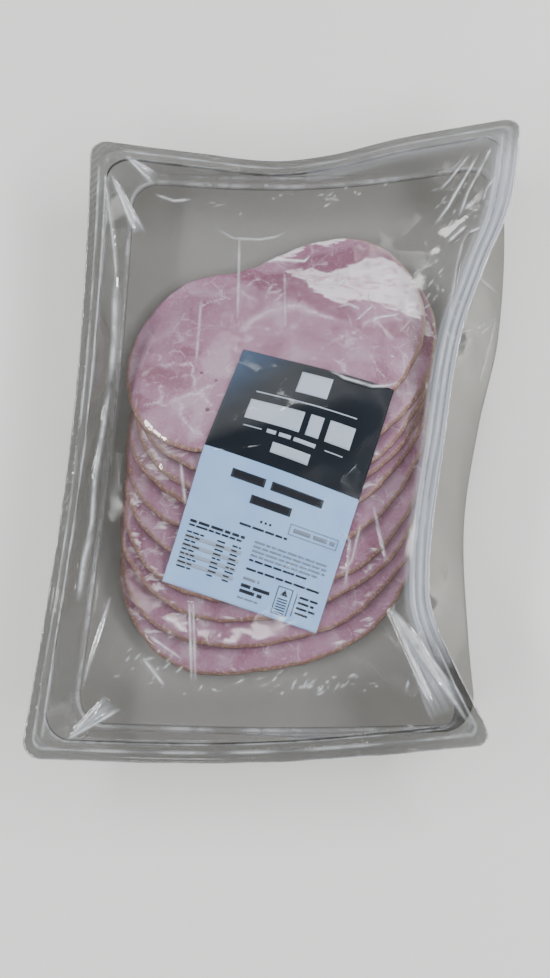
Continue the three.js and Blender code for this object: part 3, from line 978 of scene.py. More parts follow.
@dataclass
class Rasher:
    """One slice of bacon, draped over what it lies on.

    Attributes:
        order: Its number, from the bottom.
        centre: The x and y of its middle.
        above: The same of the slice that lies on it, none for the top one.
        reach: How far its rim is from its middle, on average.
        spokes: How many points each of its rings has.
        gap: How far it is above its bed.
        stiffness: How often its bed is bridged, and smoothing how often that is smoothed.
        bed: What it is laid on.
    """

    order: int
    centre: tuple
    above: tuple | None = None
    thickness: float = 2.95
    reach: float = 66.5
    spokes: int = 320
    gap: float = 0.12
    stiffness: int = 36
    smoothing: int = 3
    bed: HeightMap | None = None

    # The rim's swells: how often each goes round, its height and where its crest is, in degrees.
    WAVES = ((1, 3.0, -37.0), (2, 13.0, 24.5), (3, 2.9, 44.0), (4, 1.9, 45.0))
    # The rings of points, as shares of the reach. First the upper side of the top slice, which is all
    # seen, and of the others, which the next one mostly hides. Then the rim, and the lower side.
    TOP_RINGS = (0.03, *np.linspace(0.05, 0.975, 96))
    OTHER_RINGS = (0.03, 0.15, 0.28, 0.4, 0.5, 0.58, *np.linspace(0.62, 0.975, 38))
    RIM_RINGS = (0.983, 0.99, 0.996, 1.0)
    LOWER_RINGS = (0.99, 0.93, 0.8, 0.6, 0.3, 0.03)
    # The cut edge, as how far it stands out and how high it is, from its top down.
    EDGE = ((0.3, 0.9), (0.65, 0.7), (0.95, 0.42), (1.1, 0.12))
    # Where the smoked rim starts, as a share of the reach.
    RIM_START = 0.955
    # Which way the rim is cream and not brown, and how far round from there, in degrees.
    CREAM_WAY = 28
    CREAM_SPREAD = 40
    # How far apart two slices are in the meat's grain, and how much it changes with height.
    GRAIN_STEP = 37.0
    GRAIN_RISE = 0.35
    # The painted shade: how dark a slice is in its middle, how much less that is 50 mm to the right,
    # how much darker it is beside the next slice, and how far from there that reaches.
    SHADE = 0.28
    SHADE_SLOPE = 0.2
    CONTACT_SHADE = 0.6
    CONTACT_WIDTH = 1.5

    def outline(self, angle: Array) -> Array:
        """Gives how far the rim is from the centre.

        Args:
            angle: The direction.

        Returns:
            The reach in that direction.
        """
        waves = (h * np.cos(n * (angle - math.radians(crest))) for n, h, crest in self.WAVES)
        reach = self.reach + sum(waves)
        slow = 0.5 * np.sin(5 * angle + 1.7 * self.order) + 0.4 * np.sin(8 * angle + 2.9 * self.order)
        rough = 0.16 * np.sin(23 * angle + self.order) + 0.12 * np.sin(41 * angle + 3 * self.order)
        return reach + slow + rough

    def crown(self, share: Array) -> Array:
        """Gives the thickness at a share, 0 to 1, of the way from the centre to the rim."""
        inside = np.clip((1 - share) * self.reach / 1.6, 0, 1)
        return self.thickness * (0.72 + 0.28 * np.sqrt(1 - (1 - inside) ** 2))

    def laid(self, ground: HeightMap) -> HeightMap:
        """Lays the rasher on the ground.

        Args:
            ground: What it lies on.

        Returns:
            The ground with the rasher on it.
        """
        self.bed = ground.bridged(self.stiffness).softened(self.smoothing)
        self.bed.heights = np.maximum(self.bed.heights, ground.heights)
        dx, dy = ground.x - self.centre[0], ground.y - self.centre[1]
        share = np.hypot(dx, dy) / self.outline(np.arctan2(dy, dx))
        body = self.crown(np.minimum(share, 1.0)) + self.swell(ground.x, ground.y)
        top = self.bed.heights + self.gap + body
        return HeightMap(np.where(share <= 1.0, np.maximum(top, ground.heights), ground.heights))

    def swell(self, x: Array, y: Array) -> Array:
        """Gives the unevenness of the upper side, as an extra height."""
        return 0.16 * ripple(x, y, 34.0, 100 + self.order) + 0.05 * ripple(x, y, 9.0, 200 + self.order)

    def shade(self, x: Array, y: Array) -> Array:
        """Gives the slice's painted shade: most beside the one that lies on it, and least on the right.

        Args:
            x: Where.
            y: Where.

        Returns:
            0 for light to 1 for dark.
        """
        if self.above is None:
            return np.zeros_like(x)
        dx, dy = x - self.above[0], y - self.above[1]
        beyond = np.hypot(dx, dy) - self.outline(np.arctan2(dy, dx)) - self.EDGE[-1][0]
        overall = self.SHADE - self.SHADE_SLOPE * np.clip(dx / 50, -1, 1)
        near = np.exp(-((np.maximum(beyond, 0) / self.CONTACT_WIDTH) ** 1.2))
        return overall + self.CONTACT_SHADE * near

    def rings(self) -> tuple[list[Array], list[float]]:
        """Draws rings of points, over the upper side, down the cut edge and back along the underside.

        Returns:
            Each ring's points, and how much of a rim it is, past 1 with a painted shadow.
        """
        angle = np.linspace(0, 2 * math.pi, self.spokes, endpoint=False)
        reach = self.outline(angle)
        upper = self.TOP_RINGS if self.above is None else self.OTHER_RINGS
        rings, rim_and_shadow = [], []
        for share in (*upper, *self.RIM_RINGS):
            x, y = self.plan(reach * share, angle)
            z = self.bed.at(x, y) + self.gap + self.crown(np.full_like(x, share)) + self.swell(x, y)
            rings.append(np.stack([x, y, z], axis=-1))
            rim_and_shadow.append(0.8 * max((share - self.RIM_START) / (1 - self.RIM_START), 0.0) ** 1.5)
        x, y = self.plan(reach, angle)
        base = self.bed.at(x, y) + self.gap
        lip = self.crown(np.full_like(x, 1.0)) + self.swell(x, y)
        for out, level in self.EDGE:
            x, y = self.plan(reach + out, angle)
            rings.append(np.stack([x, y, base + lip * level], axis=-1))
            # A rim number past 1, at the foot of the cut edge, paints a shadow there.
            rim_and_shadow.append(1.6 - level)
        for share in self.LOWER_RINGS:
            x, y = self.plan(reach * share, angle)
            rings.append(np.stack([x, y, self.bed.at(x, y) + self.gap], axis=-1))
            rim_and_shadow.append(0.5 if share > 0.9 else 0.0)
        return rings, rim_and_shadow

    def piece(self) -> Piece:
        """Makes the rasher's mesh.

        Returns:
            The piece, with the attributes that its finish reads.
        """
        rings, rim_and_shadow = self.rings()
        points = np.concatenate(rings)
        faces = grid_faces(len(rings), self.spokes, wrapped=True)[:, ::-1].tolist()
        last = (len(rings) - 1) * self.spokes
        faces.append(list(range(self.spokes)))
        faces.append([last + k for k in reversed(range(self.spokes))])
        piece = Piece(f"rasher_{self.order + 1:02d}_meat", points, faces)
        from_centre = points[:, :2] - np.array(self.centre)
        lift = points[:, 2] * self.GRAIN_RISE + self.GRAIN_STEP * self.order
        piece.vector("grain", np.column_stack([from_centre, lift]))
        way = np.degrees(np.arctan2(from_centre[:, 1], from_centre[:, 0]))
        smoke = 0.3 + 0.7 * np.clip((20 - from_centre[:, 1]) / 30, 0, 1)
        cream = np.clip(1 - np.abs(way - self.CREAM_WAY) / self.CREAM_SPREAD, 0, 1) * 0.9
        # The rim number: smoked rim up to 1, painted shadow past it.
        piece.number("rim", np.repeat(rim_and_shadow, self.spokes) * np.maximum(smoke, 0.75 * (cream > 0)))
        piece.number("cream", np.clip(cream * 2, 0, 0.9))
        piece.number("shade", self.shade(points[:, 0], points[:, 1]))
        Marbling(self.order).mark(piece, from_centre[:, 0], from_centre[:, 1])
        return piece

    def plan(self, reach: Array, angle: Array) -> tuple[Array, Array]:
        """Gives the x and y of places round the centre, by how far out they are and which way."""
        return self.centre[0] + reach * np.cos(angle), self.centre[1] + reach * np.sin(angle)


@dataclass
class Stack:
    """The shingled rashers, lowest and nearest first.

    Attributes:
        top_centre: The x and y of the top one's middle.
        steps: How much nearer each lies than the one over it, from the top down.
        strays: How far to the right of the top one each lies, from the top down.
        floor: How high the lowest lies.
    """

    top_centre: tuple = (-9.0, 40.0)
    steps: tuple = (0, 9.7, 8.6, 7.6, 10.5, 13.4, 16.1, 9.4, 12.3, 12.3)
    strays: tuple = (0, 6, 5, 3, 1, 1, 1, 0.5, 0, 0)
    floor: float = 0.9

    COUNT = 10
    TOP_SPOKES = 480

    def build(self) -> HeightMap:
        """Lays and dresses every rasher.

        Returns:
            The heights of the finished stack.
        """
        meat = MeatFinish().material()
        ground = HeightMap()
        ground.heights += self.floor
        for order in range(self.COUNT):
            down = self.COUNT - 1 - order
            rasher = Rasher(order, self.centre(down), self.centre(down - 1) if down else None)
            if not down:
                rasher.spokes = self.TOP_SPOKES
            ground = rasher.laid(ground)
            rasher.piece().dressed(meat, "cured_meat", f"rasher_{order + 1:02d}")
        return ground

    def centre(self, down: int) -> tuple[float, float]:
        """Gives the x and y of the centre of the rasher that has this many over it."""
        return self.top_centre[0] + self.strays[down], self.top_centre[1] - sum(self.steps[: down + 1])


# The label


class Ink(Enum):
    """The label's inks."""

    BLACK = InkFinish("black ink", screen(14, 18, 28), screen(34, 40, 52))
    GREY = InkFinish("grey ink", screen(128, 142, 160), screen(150, 166, 184))
    STRIPE = InkFinish("stripe tint", screen(160, 176, 198), screen(168, 186, 208))
    WHITE = InkFinish("pale ink", screen(196, 210, 226), screen(180, 194, 212))


@dataclass
class Label:
    """The paper label, its two fields of colour and its print.

    Attributes:
        centre: The x and y of its middle.
        turn: How far it is turned anticlockwise.
        cell: How far apart its points are.
        lift: How far it is above its bed.
        stiffness: How often its bed is bridged, and smoothing how often that is smoothed.
        easing: The same for where the smoothed bed would be too low.
        ink_height: How far print is above the paper, and stripe_height how far stripes are.
        bars: The bars of each ink.
        bed: What it is laid on.
    """

    width: float = 76.6
    length: float = 120.0
    thickness: float = 0.2
    centre: tuple = (-6.1, -34.7)
    turn: float = math.radians(-18.3)
    cell: float = 1.3
    lift: float = 0.35
    stiffness: int = 400
    smoothing: int = 80
    easing: int = 150
    easing_smoothing: int = 10
    ink_height: float = 0.12
    stripe_height: float = 0.07
    ink_thickness: float = 0.04
    bars: dict[Ink, list] = field(default_factory=dict)
    bed: HeightMap | None = None

    # The boxes and bars: each one's ink, its left and top on the label, its width and its height.
    BOXES = (
        (Ink.WHITE, 32.0, 4.5, 15.5, 11.5),
        (Ink.WHITE, 14.0, 20.6, 50.0, 0.6),
        (Ink.WHITE, 13.0, 25.5, 27.0, 10.5),
        (Ink.WHITE, 43.0, 25.5, 6.5, 10.5),
        (Ink.WHITE, 52.5, 25.5, 12.5, 10.5),
        (Ink.WHITE, 14.0, 39.6, 9.0, 0.5),
        (Ink.WHITE, 54.0, 39.6, 9.0, 0.5),
        (Ink.WHITE, 30.0, 44.0, 18.5, 5.0),
        (Ink.BLACK, 16.0, 61.0, 16.5, 4.0),
        (Ink.BLACK, 35.5, 61.0, 25.5, 4.0),
        (Ink.BLACK, 28.0, 69.5, 20.0, 4.0),
        (Ink.BLACK, 62.4, 105.6, 0.35, 11.0),
    )
    # The outlined boxes: the same, and how thick the line is.
    FRAMES = (
        (Ink.GREY, 49.5, 76.0, 24.0, 5.2, 0.4),
        (Ink.BLACK, 53.0, 104.8, 7.4, 13.0, 0.35),
    )
    # The lines of small print: the same as a box, and what the words' lengths are drawn from.
    LINES = (
        (Ink.WHITE, 25.5, 38.7, 26.0, 1.9, 3),
        (Ink.BLACK, 26.5, 83.0, 23.5, 1.0, 5),
        (Ink.GREY, 51.6, 77.7, 20.5, 1.9, 6),
        (Ink.BLACK, 4.0, 88.6, 27.0, 1.25, 11),
        (Ink.BLACK, 4.0, 90.7, 26.0, 0.9, 12),
        (Ink.BLACK, 36.0, 97.4, 30.0, 0.95, 85),
        (Ink.BLACK, 36.0, 101.6, 37.0, 1.0, 86),
        (Ink.GREY, 36.0, 106.0, 8.0, 1.3, 87),
        (Ink.BLACK, 36.0, 109.2, 14.0, 1.6, 88),
        (Ink.BLACK, 36.0, 111.8, 11.0, 1.6, 89),
        (Ink.GREY, 36.0, 115.4, 10.0, 0.8, 90),
    )
    # The table: how many rows, the top of the first, and how far apart they are.
    TABLE_ROWS = 9
    TABLE_TOP = 94.0
    TABLE_STEP = 2.05

    def build(self, ground: HeightMap) -> HeightMap:
        """Lays, prints and dresses the label.

        Args:
            ground: What it lies on.

        Returns:
            The ground with the label on it.
        """
        self.bed = ground.bridged(self.stiffness).softened(self.smoothing)
        shortfall = HeightMap(np.maximum(ground.heights - self.bed.heights, 0))
        self.bed.heights += shortfall.bridged(self.easing).softened(self.easing_smoothing).heights
        columns, rows = int(self.width / self.cell), int(self.length / self.cell)
        right, down = np.meshgrid(np.linspace(0, self.width, columns), np.linspace(0, self.length, rows))
        points = self.surface(right.ravel(), down.ravel(), 0.0)
        piece = Piece("label_sheet", points, grid_faces(rows, columns)[:, ::-1])
        piece.vector("place", np.column_stack([right.ravel(), down.ravel(), np.zeros(right.size)]))
        piece.thickened(self.thickness)
        piece.dressed(PaperFinish().material(), "label_paper", "label")
        self.write()
        for ink, bars in self.bars.items():
            self.print_bars(ink, bars)
        return self.covered(ground)

    def surface(self, right: Array, down: Array, proud: float) -> Array:
        """Gives points on the label's upper side.

        Args:
            right: How far from the left edge.
            down: How far from the top edge.
            proud: How far above the paper.

        Returns:
            The points, one row each.
        """
        a, b = right - self.width / 2, self.length / 2 - down
        x = self.centre[0] + a * math.cos(self.turn) - b * math.sin(self.turn)
        y = self.centre[1] + a * math.sin(self.turn) + b * math.cos(self.turn)
        return np.stack([x, y, self.bed.at(x, y) + self.lift + proud], axis=-1)

    def covered(self, ground: HeightMap) -> HeightMap:
        """Adds the label to a map.

        Args:
            ground: The map.

        Returns:
            The map with the label on it.
        """
        dx, dy = ground.x - self.centre[0], ground.y - self.centre[1]
        a = dx * math.cos(self.turn) + dy * math.sin(self.turn)
        b = dy * math.cos(self.turn) - dx * math.sin(self.turn)
        under = (np.abs(a) < self.width / 2) & (np.abs(b) < self.length / 2)
        top = np.maximum(self.bed.heights + self.lift, ground.heights)
        return HeightMap(np.where(under, top, ground.heights))

    def bar(self, ink: Ink, left: float, top: float, width: float, height: float) -> None:
        """Notes one printed bar, by its left and top on the label and its size."""
        self.bars.setdefault(ink, []).append((left, top, width, height))

    def words(self, ink: Ink, left: float, top: float, width: float, height: float, seed: int) -> None:
        """Notes a line of bars as long as words, which stands for a line of small print.

        Args:
            ink: The ink.
            left: The line's left edge.
            top: Its top edge.
            width: Its width.
            height: The bars' height.
            seed: What the words' lengths are drawn from.
        """
        draw = np.random.default_rng(seed)
        at = left
        while at < left + width - 1.0:
            word = min(draw.uniform(1.6, 5.2) * max(height, 0.7) / 0.8, left + width - at)
            self.bar(ink, at, top, word, height)
            at += word + 0.75 * height

    def frame(self, ink: Ink, left: float, top: float, width: float, height: float, line: float) -> None:
        """Notes an outlined box.

        Args:
            ink: The ink.
            left: Its left edge.
            top: Its top edge.
            width: Its width.
            height: Its height.
            line: How thick its line is.
        """
        self.bar(ink, left, top, width, line)
        self.bar(ink, left, top + height - line, width, line)
        self.bar(ink, left, top + line, line, height - 2 * line)
        self.bar(ink, left + width - line, top + line, line, height - 2 * line)

    def write(self) -> None:
        """Notes everything that is printed, all of it plain bars and boxes."""
        for box in self.BOXES:
            self.bar(*box)
        for box in self.FRAMES:
            self.frame(*box)
        for line in self.LINES:
            self.words(*line)
        for dot in range(3):
            self.bar(Ink.BLACK, 35.6 + 2.2 * dot, 79.4, 1.0, 1.0)
        for row in range(self.TABLE_ROWS):
            top = self.TABLE_TOP + self.TABLE_STEP * row
            if row % 2:
                self.bar(Ink.STRIPE, 3.6, top - 0.5, 28.0, 1.9)
            self.words(Ink.BLACK, 4.0, top, 7.0 if row % 3 else 9.0, 0.75, 20 + row)
            self.words(Ink.BLACK, 19.0, top, 4.2, 0.75, 40 + row)
            self.words(Ink.BLACK, 26.6, top, 4.2, 0.75, 60 + row)
        for line in range(4):
            self.words(Ink.GREY, 36.0, 88.8 + 2.1 * line, 36.0 - 3.0 * (line == 3), 0.95, 80 + line)
            self.words(Ink.BLACK, 64.0, 106.4 + 2.5 * line, 9.0 - 1.2 * (line % 2), 1.0, 95 + line)
        for line in range(6):
            self.bar(Ink.BLACK, 54.3, 110.2 + 1.25 * line, 4.8, 0.5)
        for step in range(4):
            self.bar(Ink.BLACK, 56.5 - 0.45 * step, 105.9 + 0.7 * step, 0.5 + 0.9 * step, 0.7)

    def print_bars(self, ink: Ink, bars: list) -> None:
        """Makes one ink's bars as a thin layer on the paper.

        Args:
            ink: The ink.
            bars: Its bars.
        """
        proud = self.stripe_height if ink is Ink.STRIPE else self.ink_height
        points, faces, count = [], [], 0
        for left, top, width, height in bars:
            columns = max(2, int(width / self.cell) + 2)
            rows = max(2, int(height / self.cell) + 2)
            across, along = np.linspace(left, left + width, columns), np.linspace(top, top + height, rows)
            right, down = np.meshgrid(across, along)
            points.append(self.surface(right.ravel(), down.ravel(), proud))
            faces.append(grid_faces(rows, columns)[:, ::-1] + count)
            count += rows * columns
        name = ink.value.name.replace(" ", "_")
        piece = Piece(f"label_{name}", np.concatenate(points), np.concatenate(faces))
        piece.thickened(self.ink_thickness)
        piece.dressed(ink.value.material(), "label_paper")


# The tray


@dataclass
class Tray:
    """The formed pocket, its drafted walls and its flange."""

    flange_width: float = 8.5
    flange_corner: float = 9.0
    mouth_corner: float = 13.0
    foot_corner: float = 18.0
    heel: float = 4.0
    thickness: float = 0.35
    straight_cells: float = 1.1
    corner_cells: int = 14
    heel_loops: int = 9
    wall_loops: int = 34

    # How far inside the foot's edge the floor's loops are.
    FLOOR_INSETS = (95.0, 70.0, 45.0, 25.0, 12.0, 7.0)
    # The flange's profile: how far inside its edge, how far down, how dense, and how white, as
    # strain-whitening and painted highlight.
    RIM = (
        (8.75, 0.85, 0.5, 0.1),
        (8.55, 0.72, 0.8, 0.55),
        (7.95, 0.3, 0.6, 0.3),
        (7.55, 0.0, 0.5, 0.0),
        (6.9, 0.0, 0.35, 0.0),
        (5.2, 0.0, 0.45, 0.0),
        (4.6, 0.28, 0.9, 0.3),
        (3.9, 0.28, 0.6, 0.0),
        (1.2, 0.2, 0.5, 0.0),
        (0.6, 0.0, 0.7, 0.15),
        (0.2, 0.1, 0.9, 0.7),
        (0.0, 0.45, 1.0, 0.4),
    )
    # The right wall's wrinkles: where each starts at the foot and ends at the mouth, and its depth.
    WRINKLES = ((41, 58, 0.12), (33, 55, -0.12), (-20, -31, 0.1))
    WRINKLE_WIDTH = 3.2
    # The white lines along its sharpest wrinkles, strain-whitening and painted highlight both.
    WALL_LINES = (
        ((82.6, 41), (94, 47), (105, 58)),
        ((80, 33), (94, 43), (105, 55)),
        ((105, 54), (95, 21)),
        ((105.7, 70), (91, 71.6)),
    )
    LINE_WIDTH = 0.6
    LINE_WHITENING_AND_HIGHLIGHT = 0.62
    PLASTIC = ClearFinish(
        name="tray plastic",
        tint=(0.59, 0.585, 0.57, 1.0),
        edge_tint=(0.38, 0.385, 0.38, 1.0),
        haze_colour=screen(160, 160, 158),
        haze=0.02,
        cloud=0.6,
        roughness=0.06,
        gloss=2.2,
        emboss=0.1,
    )

    def plan_loop(self, inset: float, corner: float) -> tuple[Array, Array]:
        """Draws an inset rectangle with round corners, on the unbowed shape.

        Args:
            inset: How far it is inside the shape's edge.
            corner: Its corners' radius.

        Returns:
            The x and y of its points, anticlockwise.
        """
        half_x, half_y = BowedShape.HALF_WIDTH - inset, BowedShape.HALF_LENGTH - inset
        corner = max(corner, 1.0)
        xs, ys = [], []
        signs = ((1, 1), (-1, 1), (-1, -1), (1, -1))
        for quarter, (sx, sy) in enumerate(signs):
            turn = (quarter + np.linspace(0, 1, self.corner_cells + 1)) * math.pi / 2
            xs.append(sx * (half_x - corner) + corner * np.cos(turn))
            ys.append(sy * (half_y - corner) + corner * np.sin(turn))
            length = 2 * (BowedShape.HALF_LENGTH if quarter % 2 else BowedShape.HALF_WIDTH)
            share = np.linspace(0, 1, int(length / self.straight_cells))[1:-1]
            nx, ny = signs[(quarter + 1) % 4]
            end_turn = (quarter + 1) * math.pi / 2
            end_x = nx * (half_x - corner) + corner * math.cos(end_turn)
            end_y = ny * (half_y - corner) + corner * math.sin(end_turn)
            xs.append(xs[-1][-1] + (end_x - xs[-1][-1]) * share)
            ys.append(ys[-1][-1] + (end_y - ys[-1][-1]) * share)
        return np.concatenate(xs), np.concatenate(ys)

    def loop(self, shape: BowedShape, inset: float, corner: float, height: float = 0.0) -> Array:
        """Lays a loop on a bowed shape.

        Args:
            shape: The shape.
            inset: How far inside its edge.
            corner: The corners' radius.
            height: How far it is lifted.

        Returns:
            The loop's points, one row each.
        """
        points = shape.at(*self.plan_loop(inset, corner))
        points[:, 2] += height
        return points

    def loops(self) -> list[tuple[Array, float, float]]:
        """Gives the tray's loops, from the middle of its floor out to the edge of its flange.

        Returns:
            Each loop's points, how dense the plastic is there, and how white, as strain-whitening and
            painted highlight.
        """
        made = []
        for inset in self.FLOOR_INSETS:
            corner = max(self.foot_corner - inset, 2.0)
            made.append((self.loop(FOOT, inset, corner), 0.0, 0.0))
        for turn in np.linspace(0, math.pi / 2, self.heel_loops):
            inset = self.heel * (1 - math.sin(turn))
            heel = self.loop(FOOT, inset, self.foot_corner - inset, self.heel * (1 - math.cos(turn)))
            # The heel's white line, strain-whitening and painted highlight both.
            made.append((heel, 0.35 * turn, 0.5 * math.exp(-(((turn - 0.75) / 0.28) ** 2))))
        heel, mouth = made[-1][0], self.loop(FLANGE, self.flange_width, self.mouth_corner)
        for share in np.linspace(0, 1, self.wall_loops)[1:-1]:
            wall = heel + (mouth - heel) * share
            made.append((self.wrinkled(wall, share), 0.7, 0.0))
        for inset, drop, dense, whitening_and_highlight in self.RIM:
            narrowing = (self.mouth_corner - self.flange_corner) / self.flange_width
            corner = self.flange_corner + narrowing * inset
            made.append((self.loop(FLANGE, inset, corner, -drop), dense, whitening_and_highlight))
        return made

    def wrinkled(self, wall: Array, share: float) -> Array:
        """Buckles a loop of the wall.

        Args:
            wall: The loop.
            share: How high it is on the wall, 0 to 1.

        Returns:
            The buckled loop.
        """
        x, y = wall[:, 0], wall[:, 1]
        right = np.clip((x - 30) / 25, 0, 1) * np.clip((145 - np.abs(y)) / 20, 0, 1)
        depth = math.sin(math.pi * share)
        creases = 0.0
        for start, end, size in self.WRINKLES:
            at = start + (end - start) * share
            creases = creases + size * np.exp(-(((y - at) / self.WRINKLE_WIDTH) ** 2))
        push = depth * right * creases + 0.25 * depth * ripple(x, y, 26.0, 31)
        made = wall.copy()
        made[:, 0] += push * right
        made[:, 1] += 0.3 * push * (1 - right)
        return made

    def wall_lines(self, points: Array) -> Array:
        """Gives the strength of the right wall's white lines, strain-whitening and painted highlight both.

        Args:
            points: The tray's points.

        Returns:
            The lines' strength at each point.
        """
        x, y, z = points[:, 0], points[:, 1], points[:, 2]
        gaps = [along_path(x, y, path)[0] for path in self.WALL_LINES]
        lines = np.exp(-((np.min(gaps, axis=0) / self.LINE_WIDTH) ** 2))
        uneven = np.clip(0.7 + 0.5 * ripple(x, y, 12.0, 19), 0.1, 1)
        return self.LINE_WHITENING_AND_HIGHLIGHT * lines * uneven * (z > 2.0)

    def build(self) -> None:
        """Makes and dresses the tray."""
        loops = self.loops()
        count = len(loops[0][0])
        points = np.concatenate([loop for loop, _, _ in loops])
        faces = grid_faces(len(loops), count, wrapped=True)[:, ::-1].tolist()
        faces.append(list(range(count)))
        piece = Piece("tray_formed", points, faces)
        piece.number("seal", np.zeros(len(points)))
        piece.number("milk", np.zeros(len(points)))
        piece.number("dense", np.concatenate([np.full(count, dense) for _, dense, _ in loops]))
        # Strain-whitening and painted highlights, unevenly.
        whitening_and_highlight = np.concatenate([np.full(count, whitening_and_highlight) for _, _, whitening_and_highlight in loops])
        whitening_and_highlight *= np.clip(0.75 + 0.5 * ripple(points[:, 0], points[:, 1], 30.0, 17), 0.15, 1)
        piece.number("whitening_and_highlight", np.maximum(whitening_and_highlight, self.wall_lines(points)))
        piece.thickened(self.thickness, self.PLASTIC.lower())
        piece.dressed(self.PLASTIC.upper(), "tray_plastic", "tray")


# The lid film


@dataclass(frozen=True)
class Crease:
    """A sharp fold along a line of the lid film, up, or down where its height is negative.

    Attributes:
        path: The line's points.
        height: How high its ridge is.
        width: Half its width.
        whitening_and_highlight: How white the ridge is, 0 to 1, as strain-whitening and painted highlight.
        fade: How early it gets lower towards its ends, 0 for not at all.
    """

    path: tuple
    height: float
    width: float = 1.3
    whitening_and_highlight: float = 0.56
    fade: float = 0.4

    def raised(self, x: Array, y: Array) -> Array:
        """Gives the crease's height over a sheet.

        Args:
            x: The sheet's points.
            y: The sheet's points.

        Returns:
            The height added at each.
        """
        distance, share = along_path(x, y, self.path)
        taper = np.sin(np.pi * np.clip(share, 0.001, 0.999)) ** self.fade
        return self.height * np.clip(1 - distance / self.width, 0, 1) * taper

    def whitened_and_highlit(self, x: Array, y: Array) -> Array:
        """Gives how white the film is by the crease, as strain-whitening and painted highlight.

        Args:
            x: The sheet's points.
            y: The sheet's points.

        Returns:
            0 for clear to 1 for white.
        """
        distance, share = along_path(x, y, self.path)
        taper = np.clip(np.minimum(share, 1 - share) * 5, 0.1, 1)
        return self.whitening_and_highlight * taper * np.exp(-((distance / max(0.5, 0.32 * self.width)) ** 2))


@dataclass(frozen=True)
class Dart:
    """A pucker that opens from a corner of the seal: two ridges with a hollow between them.

    Attributes:
        tip: Where the two ridges meet.
        first_end: Where one of them ends.
        second_end: Where the other ends.
        height: How high they are.
        hollow: How deep the film is between them.
        cloud: How milky it is there.
    """

    tip: tuple
    first_end: tuple
    second_end: tuple
    height: float
    hollow: float
    cloud: float

    def raised(self, x: Array, y: Array) -> Array:
        """Gives the dart's height over a sheet.

        Args:
            x: The sheet's points.
            y: The sheet's points.

        Returns:
            The height added at each.
        """
        ridges = sum(ridge.raised(x, y) for ridge in self.ridges())
        distance, share, spread = self.reached(x, y)
        width = np.maximum(0.35 * spread * share, 0.4)
        return ridges - self.hollow * np.exp(-((distance / width) ** 2)) * np.sin(np.pi * share)

    def whitened_and_highlit(self, x: Array, y: Array) -> Array:
        """Gives how white the film is, 0 to 1, by the dart's two ridges, as strain-whitening and painted
        highlight.
        """
        return np.max([ridge.whitened_and_highlit(x, y) for ridge in self.ridges()], axis=0)

    def milk(self, x: Array, y: Array) -> Array:
        """Gives how milky the stretched film of the dart is.

        Args:
            x: The sheet's points.
            y: The sheet's points.

        Returns:
            0 outside the dart, and up to its cloud inside.
        """
        distance, share, spread = self.reached(x, y)
        inside = np.clip((0.55 * spread * share - distance) / 0.8 + 0.5, 0, 1)
        return self.cloud * inside * np.clip((1 - share) * 4, 0, 1) * (0.7 + 0.3 * np.sin(distance * 2.6))

    def ridges(self) -> tuple[Crease, Crease]:
        """Gives the dart's two ridges."""
        return tuple(Crease((self.tip, end), self.height) for end in (self.first_end, self.second_end))

    def reached(self, x: Array, y: Array) -> tuple[Array, Array, float]:
        """Measures a sheet's points against the dart's middle line.

        Args:
            x: The sheet's points.
            y: The sheet's points.

        Returns:
            How far each is from the line, how far along it, and how wide the dart's mouth is.
        """
        middle = tuple((a + b) / 2 for a, b in zip(self.first_end, self.second_end))
        distance, share = along_path(x, y, (self.tip, middle))
        return distance, share, math.dist(self.first_end, self.second_end)


